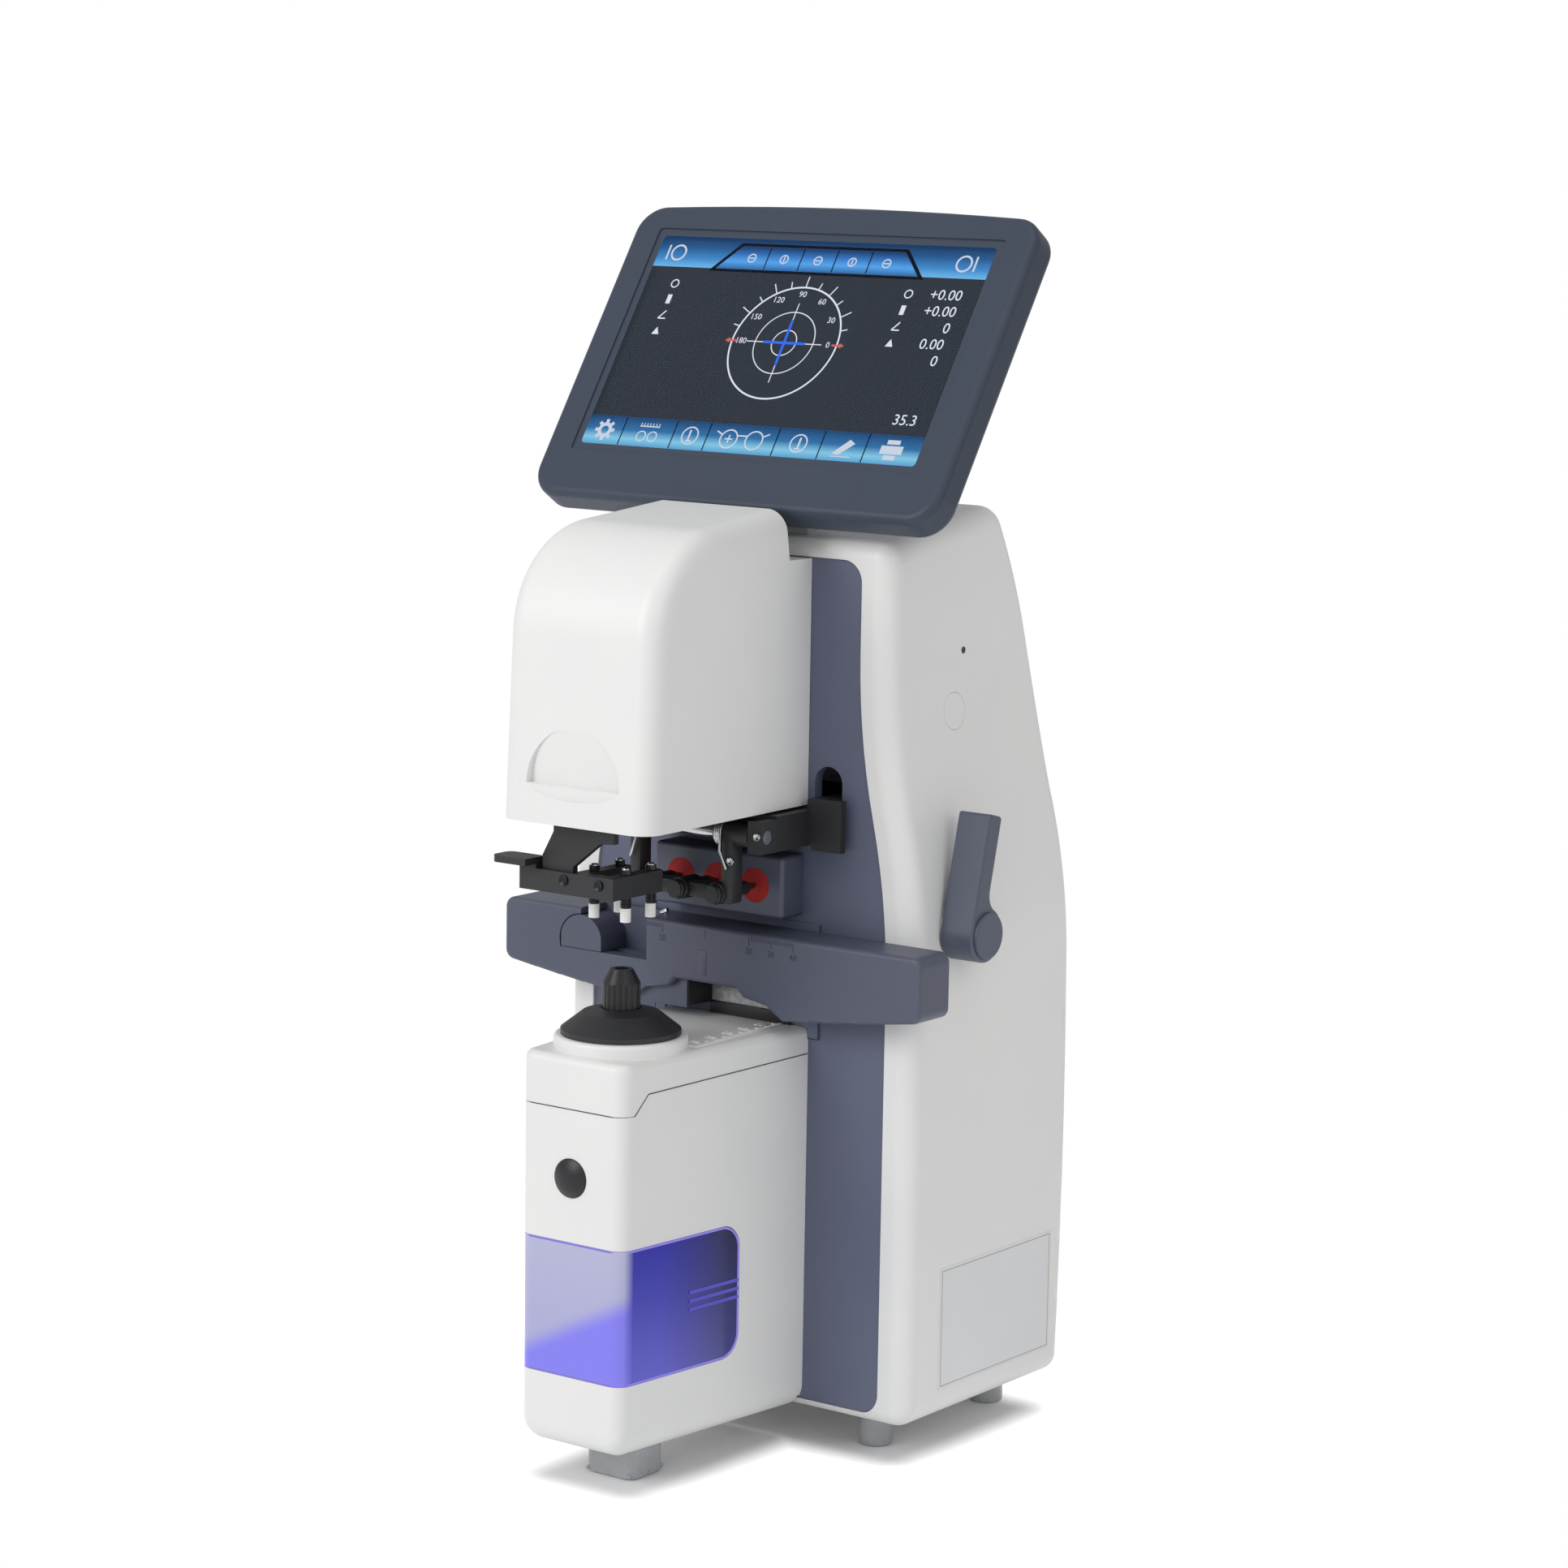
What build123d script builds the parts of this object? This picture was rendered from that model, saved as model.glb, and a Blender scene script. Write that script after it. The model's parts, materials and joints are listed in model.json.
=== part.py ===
from build123d import *
import os
from math import atan2, cos, degrees, pi, radians, sin

os.makedirs("parts", exist_ok=True)

# Auto lensmeter. X is to the right of someone facing it, -Y is its front, +Z is up, the feet stand on Z = 0.
# Every Y below is a distance behind the front face of the narrow column, added to column_front.
column_front = -101.3

# Heights of the casing above the surface that it stands on
foot_height = 15.0
casing_wall = 2.5
fit = 0.3

# Main body: width, front and rear faces, shoulder and top
body_half_width = 81.0
body_top_half_width = 67.0
flare_start = 180.0
flare_end = 300.0
body_face = column_front + 96.5
body_bottom_rear = column_front + 202.2
body_belly_rear = column_front + 204.4
body_belly_height = 100.0
body_back_rear = column_front + 199.6
body_back_height = 250.0
body_crown_rear = column_front + 167.4
body_crown_height = 351.5
body_crown_edge = 11.0
body_shoulder_height = 341.0
body_edge = 8.0
body_foot_edge = 6.0
body_wall = 3.0

# Rear opening with its cover, vents, screws and power entry
rear_opening_half = 56.0
rear_opening_bottom = 30.0
rear_opening_top = 236.0
vent_count = 7
vent_pitch = 9.0
vent_width = 70.0
vent_height = 3.0
vent_z = 190.0
cover_screw_x = 48.0
cover_screw_low = 38.0
cover_screw_high = 228.0
cover_screw_radius = 1.3
screw_length = 8.0
screw_head_radius = 2.6
screw_head_height = 1.2
tab_thickness = 4.0
entry_z = 54.0
entry_half_width = 25.0
entry_half_height = 13.0
entry_depth = 26.0
inlet_x = 9.5
inlet_half_width = 12.0
inlet_half_height = 8.5
inlet_depth = 18.0
switch_x = -14.5
switch_half_width = 7.0
switch_half_height = 10.8
switch_depth = 14.0
rocker_half = 9.0
rocker_high = 6.4
rocker_low = 4.4

# Round blanking caps in the sides
side_cap_y = column_front + 137.0
side_cap_z = 277.0
side_cap_radius = 6.8

# Front panel, set into the face of the body
panel_margin = 13.0
panel_recess = 1.0
panel_bottom = 18.5
panel_top = 334.0
panel_flange = 2.5
panel_flange_margin = 3.0
panel_face = body_face + panel_recess
panel_corner = 8.0
head_opening_half = 24.0
head_opening_bottom = 262.0
head_opening_top = 328.0
column_opening_half = 26.0
column_opening_top = 140.0
plateau_half_width = 38.0
plateau_bottom = 156.0
plateau_top = 199.0
plateau_depth = 0.8

# Column under the lens
column_half_width = 23.4
column_rear_half_width = 33.0
column_corner = 6.0
column_bottom_edge = 9.0
column_top_edge = 3.0
column_top = 160.0
lid_front_seam = 141.0
lid_side_seam = 148.0
lid_rear_seam = 150.0
lid_step_start = 6.0
lid_step_end = 13.0
lid_thickness = 4.0
seam_gap = 0.25

# Optical axis and lens stop
axis_y = column_front + 28.0
collar_radius = 24.3
collar_height = 4.6
cone_radius = 21.8
cone_rim = 1.9
cone_shoulder_radius = 14.0
cone_shoulder_height = 8.0
cone_height = 9.4
nose_radius = 6.9
nose_height = 14.2
nose_socket = 4.0
cone_ledge = 1.2
nose_tip_radius = 4.2
nose_tip_chamfer = 5.0
nose_bore = 2.6
nose_flutes = 20
flute_radius = 0.45
stop_bore = 4.5
tube_radius = 7.0
tube_wall = 1.5
tube_length = 62.0

# Memory button in the column's front
button_height = 116.0
button_radius = 7.1
button_clearance = 0.15
button_travel = 2.0
button_stand = 2.2
button_flange = 1.6
button_flange_thickness = 1.2
button_depth = 7.0
button_lip = 0.4
board_thickness = 1.6

# Clear cover of the paper bay
bay_bottom = 42.5
bay_top = 92.5
cover_depth = 62.0
cover_wall = 2.0
cover_corner = 9.0
roll_radius = 18.5
roll_width = 34.0
roll_depth = 32.0
roll_height = 66.0
spindle_radius = 3.0
holder_wall = 2.0

# Feet, base plate and upright frame
front_foot_y = column_front + 33.0
front_foot_width = 23.0
front_foot_depth = 20.0
foot_radius = 6.4
rear_foot_x = 53.0
rear_foot_y = column_front + 192.0
middle_foot_x = 52.0
middle_foot_y = column_front + 119.0
plate_thickness = 2.0
plate_rear_margin = 10.6
frame_depth = 160.0
frame_half_width = 44.0
frame_top = 318.0
frame_wall = 3.0
supply_half = 36.0
supply_depth = 30.0
supply_bottom = 40.0
supply_top = 140.0
board_half = 39.0
board_bottom = 84.0
board_top = 150.0

# Head over the lens
head_front = column_front - 1.8
head_half_width = 34.3
head_rear_half_width = 31.0
head_bottom = 243.0
head_corner = column_front + 3.0
head_corner_height = 344.5
head_brow_radius = 40.0
head_rear_top = column_front + 80.0
head_rear_top_height = 352.0
head_rear_step = 333.5
head_edge = 8.0
head_wall = 2.5
notch_half = 21.0
notch_bottom = 257.0
notch_depth = 3.2
base_thickness = 3.0
head_plate_z = 300.0
head_plate_start = column_front + 10.0
head_plate_thickness = 4.0
head_plate_half = 20.0
post_x = 16.0
lamp_radius = 8.0
lamp_height = 18.0

# Lens table
table_front = column_front + 77.4
table_depth = 18.2
table_half_width = 96.2
table_top = 196.4
table_end_height = 23.6
table_arch_top = 175.0
table_arch_half = 14.0
table_step_half = 17.0
table_step_height = 171.9
table_sag = 3.2
table_corner = 4.0
table_low_start = 27.5
table_low_shoulder = 170.2
table_low_half = 35.0
table_low = 165.4
table_edge = 1.6
table_travel = 29.8

# Bridge rest that slides along the table
rest_home = -59.0
rest_half_width = 9.6
rest_crest = 193.6
rest_shoulder = 186.0
rest_groove = 2.0
recess_depth = 15.2
groove_start = 5.6
groove_width = 4.0
recess_end = -27.5
recess_floor = 180.4
rest_gap = 0.2
nest_gap = 0.4

# Rack arm, pinion and lever
rack_x = -22.0
rack_width = 22.0
rack_bottom = 164.0
rack_front = column_front + 81.0
gear_module = 1.0
gear_teeth = 38
pitch_radius = gear_module * gear_teeth / 2
mesh_gap = 0.15
tooth_tip = 0.8
tooth_root = 1.2
tooth_base = 1.9
tooth_end = 0.7
pinion_width = 8.0
pinion_y = column_front + 121.8
pinion_z = 198.6
lever_turn = 90.0
axle_radius = 3.0
cheek = 4.0
shaft_radius = 4.0
bush_radius = 9.0
bush_length = 12.0
bore_clearance = 0.05
guide_rod_x = 50.0
guide_rod_radius = 4.0
guide_rod_z = 184.0
rod_socket = 10.0
rod_rear = column_front + 176.0
lever_thickness = 13.6
lever_hub_radius = 10.1
lever_arm_width = 8.0
lever_reach = 43.5
lever_lean = 14.0
lever_neck_radius = 7.0
lever_cap_radius = 8.6
lever_cap_height = 1.4
lever_outer = table_half_width - lever_cap_height

# Lens presser with its four pins
pin_spacing = 14.4
pin_radius = 1.55
pin_tip_radius = 1.95
pin_tip = 207.0
pin_tip_length = 5.0
pin_head = 1.6
presser_bottom = 216.0
presser_height = 8.0
presser_bar_left = -33.0
presser_bar_front = column_front + 10.0
presser_bar_depth = 5.0
presser_arm_width = 5.4
hanger_front = column_front + 12.0
hanger_depth = 2.8
hanger_left = -19.0
hanger_right = 8.5
hanger_shoulder = 245.0
hanger_rail_x = -5.0
rail_half_width = 6.0
rail_top = 288.0
tab_left = -41.5
tab_right = -25.5
tab_plate = 2.5

# Marking pens, their yoke and the ink box
pen_spacing = 17.0
pen_height = 213.0
pen_radius = 2.6
pen_collar_radius = 3.2
pen_front = column_front + 58.0
pad_gap = 0.4
holder_reach = 24.0
boss_start = 14.0
pad_radius = 6.5
pad_depth = 2.0
ink_front = column_front + 84.5
ink_half_width = 29.6
ink_bottom = 201.5
ink_top = 224.5
pivot_y = column_front + 66.0
pivot_z = 235.0
pivot_radius = 2.5
boss_radius = 4.4
yoke_forward = 16.0
yoke_drop = 8.0
slot_inner = 34.0
slot_outer = 46.3
slot_bottom = 227.5
slot_top = 257.8
bracket_outer = 50.2
bracket_inner = 37.0
bracket_bottom = 227.4
bracket_top = 246.6
bracket_face = column_front + 91.5
bracket_wall = 3.0
yoke_arm = 5.8
yoke_bar_depth = 131.0
yoke_bar_z = 243.0
neck_outer = 45.0
neck_half = 5.0
neck_bottom = 236.0
neck_top = 246.0
rail_x = 30.5
rail_radius = 2.5
rail_turn = (90 + degrees(atan2(yoke_drop, yoke_forward)), 0, 0)

# Screen
tilt = 33.2
display_width = 152.4
display_height = 91.4
display_foot_y = column_front + 95.9
display_foot_z = 369.4
screen_half_width = 92.0
screen_below = 22.5
screen_above = 13.0
screen_crown = 2.6
screen_corner = 12.0
bezel_depth = 6.5
bezel_rise = 0.6
glass_margin = 3.0
glass_thickness = 1.6
screen_wall = 2.0
rear_depth = 6.5
screen_edge = 3.0
hinge_y = column_front + 113.0
hinge_z = 354.0
hinge_radius = 5.5
hinge_pin_radius = 2.5
hinge_half_span = 22.0
lug_inner = 10.0
lug_outer = 16.0


def keep(piece, label):
    """Name a finished piece and write its STEP file."""
    piece.part.label = label
    export_step(piece.part, f"parts/{label}.step")


def screw_seat(height):
    """Depth of the seat that a cover screw has in the body's back."""
    return body_belly_rear + screw_sink(height) - screw_head_height / 2


def screw_sink(height):
    """How far the back lies in front of the belly at a height."""
    rise = height - body_belly_height
    if rise > 0:
        return (body_back_rear - body_belly_rear) * (rise / (body_back_height - body_belly_height)) ** 2
    return (body_bottom_rear - body_belly_rear) * (rise / (foot_height - body_belly_height)) ** 2


def side_outline(inset):
    """Side view of the main body, drawn inside its outer surface by the inset."""
    with BuildSketch(Plane.YZ.offset(-body_half_width - 10)) as view:
        with BuildLine():
            belly = ThreePointArc(
                (body_bottom_rear, foot_height),
                (body_belly_rear, body_belly_height),
                (body_back_rear, body_back_height),
            )
            TangentArc(
                (body_back_rear, body_back_height),
                (body_crown_rear, body_crown_height),
                tangent=belly % 1,
            )
            Polyline(
                (body_crown_rear, body_crown_height),
                (body_face, body_shoulder_height),
                (body_face, foot_height),
                (body_bottom_rear, foot_height),
            )
        make_face()
        if inset:
            offset(amount=-inset, kind=Kind.INTERSECTION)
        fillet(view.vertices().sort_by(Axis.Y)[:2], radius=body_foot_edge)
        fillet(view.vertices().sort_by(Axis.Y)[-1], radius=body_crown_edge - inset)
        fillet(view.vertices().group_by(Axis.X)[0].sort_by(Axis.Y)[-1], radius=body_edge)
    return view.sketch


def front_outline(inset, bottom, top, depth):
    """Front view of the main body at a depth: straight below, then an S curve to the narrower top."""
    wide = body_half_width - inset
    narrow = body_top_half_width - inset
    middle = ((wide + narrow) / 2, (flare_start + flare_end) / 2)
    with BuildSketch(Plane.XZ.offset(-depth)) as view:
        with BuildLine():
            Polyline((0, bottom), (wide, bottom), (wide, flare_start))
            lower = TangentArc((wide, flare_start), middle, tangent=(0, 1))
            TangentArc(middle, (narrow, flare_end), tangent=lower % 1)
            Polyline((narrow, flare_end), (narrow, top), (0, top))
            mirror(about=Plane.YZ)
        make_face()
    return view.sketch


def body_solid(inset, edge):
    """The body's form as the space shared by its side view and its front view."""
    rear = body_belly_rear + 10
    side_view = side_outline(inset)
    front_view = front_outline(inset, foot_height - 5, body_crown_height + 5, rear)
    with BuildPart() as form:
        extrude(side_view, amount=2 * (body_half_width + 10))
        extrude(front_view, amount=rear - body_face + 10, mode=Mode.INTERSECT)
        outer = [e for e in form.edges() if abs(e.center().X) > body_top_half_width / 2]
        seams = form.edges().filter_by(Axis.Y).filter_by_position(Axis.Z, flare_start - 1, flare_end + 1)
        fillet([e for e in outer if e not in seams], radius=edge)
    return form.part


def panel_solid(margin, low, high, near, far, corner):
    """Upright slab with the outline of the front panel between two depths."""
    outline = front_outline(margin, low, high, far)
    with BuildPart() as slab:
        extrude(outline, amount=far - near)
        ends = slab.edges().filter_by(Axis.Y).group_by(Axis.Z)
        fillet(ends[0] + ends[-1], radius=corner)
    return slab.part


def column_plan(inset, height):
    """Plan of the column at a height, widening from its front face to the body."""
    front_half = column_half_width - inset
    rear_half = column_rear_half_width - inset
    with BuildSketch(Plane.XY.offset(height), mode=Mode.PRIVATE) as plan:
        with BuildLine():
            Polyline(
                (-front_half, column_front + inset),
                (front_half, column_front + inset),
                (rear_half, panel_face),
                (-rear_half, panel_face),
                close=True,
            )
        make_face()
        fillet(plan.vertices().group_by(Axis.Y)[0], radius=max(column_corner - inset, 1.0))
    return plan.sketch


def column_solid(inset, low, high):
    """Upright block with the plan of the column."""
    with BuildPart() as upright:
        extrude(column_plan(inset, low), amount=high - low)
    return upright.part


def block(x0, x1, y0, y1, z0, z1, mode=Mode.ADD):
    """Box between two corners, added to or cut from the piece being made."""
    with Locations(((x0 + x1) / 2, (y0 + y1) / 2, (z0 + z1) / 2)):
        Box(x1 - x0, y1 - y0, z1 - z0, mode=mode)


def rod(x, y, z, radius, length, turn=(0, 0, 0), mode=Mode.ADD):
    """Cylinder about a centre point, upright unless turned."""
    with Locations(Location((x, y, z), turn)):
        Cylinder(radius, length, mode=mode)


def face_plane(x, y, z):
    """Upright plane through a point, with X to its right and Z up."""
    return Plane(origin=(x, y, z), x_dir=(1, 0, 0), z_dir=(0, -1, 0))


def side_plane(x, y, z):
    """Plane through a point, drawn with Y to its right and Z up."""
    return Plane(origin=(x, y, z), x_dir=(0, 1, 0), z_dir=(1, 0, 0))


ALONG_X = (0, 90, 0)
ALONG_Y = (90, 0, 0)
body_floor = foot_height + body_wall
lens_axis = Axis((0, axis_y, 0), (0, 0, 1))

# Body shell: hollow, open at the face for the panel, at the rear for its cover
body_outer = body_solid(0, body_edge)
body_inner = body_solid(body_wall, body_edge - body_wall)
face_cut = panel_solid(panel_margin, panel_bottom, panel_top, body_face - 1, body_face + body_wall,
                       panel_corner)
with BuildPart() as cover_tabs:
    for x in (-cover_screw_x, cover_screw_x):
        for z in (cover_screw_low, cover_screw_high):
            outward = 14 if x > 0 else -14
            block(min(x - outward / 3, x + outward), max(x - outward / 3, x + outward),
                  body_back_rear - tab_thickness - body_wall, body_belly_rear, z - 6, z + 6)
    add(body_inner, mode=Mode.INTERSECT)
with BuildPart() as body_shell:
    add(body_outer)
    add(body_inner, mode=Mode.SUBTRACT)
    add(face_cut, mode=Mode.SUBTRACT)
    block(-rear_opening_half - fit, rear_opening_half + fit, body_back_rear - 30, body_belly_rear + 5,
          rear_opening_bottom - fit, rear_opening_top + fit, mode=Mode.SUBTRACT)
    rod(body_half_width, pinion_y, pinion_z, bush_radius + fit / 2, 30, ALONG_X, mode=Mode.SUBTRACT)
    for side in (-1, 1):
        rod(side * body_half_width, side_cap_y, side_cap_z, side_cap_radius + fit / 2, 40, ALONG_X,
            mode=Mode.SUBTRACT)
    add(cover_tabs.part)
    for x in (-cover_screw_x, cover_screw_x):
        for z in (cover_screw_low, cover_screw_high):
            rod(x, body_back_rear, z, cover_screw_radius, 40, ALONG_Y, mode=Mode.SUBTRACT)
keep(body_shell, "body_shell")

# Round blanking caps, flush in the sides of the body
with BuildPart() as side_caps:
    for side in (-1, 1):
        rod(side * body_half_width, side_cap_y, side_cap_z, side_cap_radius, 40, ALONG_X)
    add(body_outer, mode=Mode.INTERSECT)
    add(body_inner, mode=Mode.SUBTRACT)
keep(side_caps, "side_caps")

# Rear cover, flush with the back, with vents and the cut-out for the power entry
with BuildPart() as rear_cover:
    add(body_outer)
    add(body_inner, mode=Mode.SUBTRACT)
    block(-rear_opening_half, rear_opening_half, body_back_rear - 30, body_belly_rear + 5,
          rear_opening_bottom, rear_opening_top, mode=Mode.INTERSECT)
    block(-entry_half_width - fit, entry_half_width + fit, body_back_rear - 30, body_belly_rear + 5,
          entry_z - entry_half_height - fit, entry_z + entry_half_height + fit, mode=Mode.SUBTRACT)
    for step in range(vent_count):
        height = vent_z + (step - (vent_count - 1) / 2) * vent_pitch
        block(-vent_width / 2, vent_width / 2, body_back_rear - 30, body_belly_rear + 5,
              height - vent_height / 2, height + vent_height / 2, mode=Mode.SUBTRACT)
    for x in (-cover_screw_x, cover_screw_x):
        for z in (cover_screw_low, cover_screw_high):
            rod(x, body_back_rear, z, cover_screw_radius + fit, 40, ALONG_Y, mode=Mode.SUBTRACT)
            rod(x, screw_seat(z) + 5, z, screw_head_radius + fit, 10, ALONG_Y, mode=Mode.SUBTRACT)
keep(rear_cover, "rear_cover")

with BuildPart() as rear_cover_screws:
    for x in (-cover_screw_x, cover_screw_x):
        for z in (cover_screw_low, cover_screw_high):
            rod(x, screw_seat(z) - screw_length / 2, z, cover_screw_radius - 0.05, screw_length, ALONG_Y)
            rod(x, screw_seat(z) + screw_head_height / 2, z, screw_head_radius, screw_head_height, ALONG_Y)
keep(rear_cover_screws, "rear_cover_screws")

# Power entry in the rear cover: inlet on one side, rocker switch on the other
entry_face = body_bottom_rear + 0.6
flange_face = body_bottom_rear - body_wall - 1.0
with BuildPart() as power_entry:
    block(-entry_half_width, entry_half_width, entry_face - entry_depth, entry_face,
          entry_z - entry_half_height, entry_z + entry_half_height)
    block(-entry_half_width - 3, entry_half_width + 3, flange_face - 2, flange_face,
          entry_z - entry_half_height - 3, entry_z + entry_half_height + 3)
    block(inlet_x - inlet_half_width, inlet_x + inlet_half_width, entry_face - inlet_depth, entry_face + 1,
          entry_z - inlet_half_height, entry_z + inlet_half_height, mode=Mode.SUBTRACT)
    for x, z in ((-7, -2), (0, 2), (7, -2)):
        block(inlet_x + x - 1, inlet_x + x + 1, entry_face - inlet_depth, entry_face - 2,
              entry_z + z - 2, entry_z + z + 2)
    block(switch_x - switch_half_width, switch_x + switch_half_width, entry_face - switch_depth,
          entry_face + 1, entry_z - switch_half_height, entry_z + switch_half_height, mode=Mode.SUBTRACT)
keep(power_entry, "power_entry")

switch_pivot = entry_face - switch_depth / 2
with BuildPart() as power_switch:
    with BuildSketch(side_plane(switch_x - switch_half_width + 0.4, switch_pivot, entry_z)):
        with BuildLine():
            Polyline(
                (-switch_depth / 2 + 1.5, -4), (-switch_depth / 2 + 1.5, 4), (0, rocker_half),
                (rocker_high, rocker_half - 1), (rocker_low, 0), (rocker_low, 1 - rocker_half),
                (0, -rocker_half), close=True,
            )
        make_face()
    extrude(amount=2 * switch_half_width - 0.8)
keep(power_switch, "power_switch")

# Front panel: a plate in the face opening, a wider flange behind the wall and a low plateau at the table
panel_back = body_face + body_wall
arm_left = rack_x - rack_width / 2
arm_right = rack_x + rack_width / 2
rack_line = pinion_z - pitch_radius - mesh_gap
arm_top = rack_line - tooth_root
panel_plate = panel_solid(panel_margin + fit, panel_bottom + fit, panel_top - fit, panel_face, panel_back,
                          panel_corner - fit)
panel_flange_form = panel_solid(panel_margin - panel_flange_margin,
                                foot_height + body_wall + body_foot_edge + 0.5,
                                body_shoulder_height - body_wall - body_edge - 0.5, panel_back,
                                panel_back + panel_flange, panel_corner)
with BuildPart() as front_panel:
    add(panel_plate)
    add(panel_flange_form)
    block(-plateau_half_width, plateau_half_width, panel_face - plateau_depth, panel_face,
          plateau_bottom, plateau_top)
    block(-column_rear_half_width - fit, column_rear_half_width + fit, panel_face - 5, panel_face,
          plateau_bottom - 1, column_top + fit, mode=Mode.SUBTRACT)
    for side in (-1, 1):
        slot_middle = side * (slot_inner + slot_outer) / 2
        slot_round = (slot_outer - slot_inner) / 2
        block(slot_middle - slot_round, slot_middle + slot_round, body_face - 1, panel_back + 9,
              slot_bottom, slot_top - slot_round, mode=Mode.SUBTRACT)
        rod(slot_middle, panel_face, slot_top - slot_round, slot_round, 30, ALONG_Y, mode=Mode.SUBTRACT)
    block(-head_opening_half, head_opening_half, body_face - 5, panel_back + 9,
          head_opening_bottom, head_opening_top, mode=Mode.SUBTRACT)
    block(-column_opening_half, column_opening_half, body_face - 5, panel_back + 9,
          panel_bottom + 10, column_opening_top, mode=Mode.SUBTRACT)
    block(arm_left - 0.5, arm_right + 0.5, body_face - 5, panel_back + 9,
          rack_bottom - 0.5, rack_line + tooth_tip + 1, mode=Mode.SUBTRACT)
    rod(guide_rod_x, panel_face, guide_rod_z, guide_rod_radius + 1, 30, ALONG_Y, mode=Mode.SUBTRACT)
keep(front_panel, "front_panel")

# Column shell and lid, parted along a stepped seam
bay_rear = column_front + cover_depth
with BuildPart() as column_form:
    extrude(column_plan(0, foot_height), amount=column_top - foot_height)
    lower = column_form.edges().group_by(Axis.Z)[0]
    fillet(lower.filter_by_position(Axis.Y, column_front - 1, panel_face - 1), radius=column_bottom_edge)
    upper = column_form.edges().group_by(Axis.Z)[-1]
    fillet(upper.filter_by_position(Axis.Y, column_front - 1, panel_face - 1), radius=column_top_edge)


def above_seam(gap):
    """Everything above the stepped seam, raised by the gap."""
    with BuildPart() as upper_side:
        with BuildSketch(Plane.YZ.offset(-50)):
            with BuildLine():
                Polyline(
                    (column_front - 5, lid_front_seam + gap),
                    (column_front + lid_step_start, lid_front_seam + gap),
                    (column_front + lid_step_end, lid_side_seam + gap),
                    (panel_face + 5, lid_rear_seam + gap),
                    (panel_face + 5, column_top + 50),
                    (column_front - 5, column_top + 50),
                    close=True,
                )
            make_face()
        extrude(amount=100)
    return upper_side.part


def bay_solid(gap):
    """The bay's opening through the column, drawn in by the gap."""
    with BuildPart() as bay:
        with BuildSketch(Plane.YZ.offset(-50)) as bay_view:
            with BuildLine():
                Polyline(
                    (column_front - 5, bay_bottom + gap), (bay_rear - gap, bay_bottom + gap),
                    (bay_rear - gap, bay_top - gap), (column_front - 5, bay_top - gap), close=True,
                )
            make_face()
            fillet(bay_view.vertices().group_by(Axis.X)[-1], radius=cover_corner - gap)
        extrude(amount=100)
    return bay.part


with BuildPart() as column_void:
    extrude(column_plan(casing_wall, foot_height + casing_wall),
            amount=column_top - lid_thickness - foot_height - casing_wall)
    lower = column_void.edges().group_by(Axis.Z)[0]
    fillet(lower.filter_by_position(Axis.Y, column_front + 1, panel_face - 1),
           radius=column_bottom_edge - casing_wall)
column_inside = column_solid(casing_wall, foot_height, column_top)
above_lower_seam = above_seam(0)
above_upper_seam = above_seam(seam_gap)
bay_cut = bay_solid(0)
with BuildPart() as column_shell:
    add(column_form.part)
    add(above_lower_seam, mode=Mode.SUBTRACT)
    add(column_void.part, mode=Mode.SUBTRACT)
    add(bay_cut, mode=Mode.SUBTRACT)
    block(-50, 50, body_face - 0.2, panel_face + 1, foot_height - 1, panel_bottom + 1, mode=Mode.SUBTRACT)
    rod(0, column_front, button_height, button_radius + button_clearance, 20, ALONG_Y, mode=Mode.SUBTRACT)
keep(column_shell, "column_shell")

collar_base = column_top + collar_height
with BuildPart() as column_lid:
    add(column_form.part)
    add(above_upper_seam, mode=Mode.INTERSECT)
    add(column_void.part, mode=Mode.SUBTRACT)
    rod(0, axis_y, column_top - lid_thickness + (lid_thickness + collar_height) / 2, collar_radius,
        lid_thickness + collar_height)
    rim = column_lid.edges().filter_by(GeomType.CIRCLE).group_by(Axis.Z)[-1]
    fillet(rim, radius=1.5)
    rod(0, axis_y, column_top, tube_radius + fit, 60, mode=Mode.SUBTRACT)
keep(column_lid, "column_lid")

# Lens stop: a low black cone and the fluted nose that the lens rests on
with BuildPart() as lens_stop_cone:
    with BuildSketch(face_plane(0, axis_y, collar_base)):
        with BuildLine():
            Polyline(
                (tube_radius + fit, 0), (cone_radius, 0), (cone_radius, cone_rim),
                (cone_shoulder_radius, cone_shoulder_height), (tube_radius + cone_ledge, cone_height),
                (tube_radius + fit, cone_height), close=True,
            )
        make_face()
    revolve(axis=lens_axis)
keep(lens_stop_cone, "lens_stop_cone")

nose_base = collar_base + cone_height
tube_top = nose_base - nose_socket
with BuildPart() as lens_stop_nose:
    with BuildSketch(face_plane(0, axis_y, nose_base)):
        with BuildLine():
            Polyline(
                (stop_bore, -nose_socket), (tube_radius, -nose_socket), (tube_radius, 0), (nose_radius, 0),
                (nose_radius, nose_height - nose_tip_chamfer), (nose_tip_radius, nose_height),
                (nose_bore, nose_height), (nose_bore, nose_height - 2), (stop_bore, nose_height - 6),
                close=True,
            )
        make_face()
    revolve(axis=lens_axis)
    with BuildSketch(Plane.XY.offset(nose_base)):
        with Locations((0, axis_y)):
            with PolarLocations(nose_radius + 0.1, nose_flutes):
                Circle(flute_radius)
    extrude(amount=nose_height - nose_tip_chamfer, mode=Mode.SUBTRACT)
keep(lens_stop_nose, "lens_stop_nose")

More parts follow.
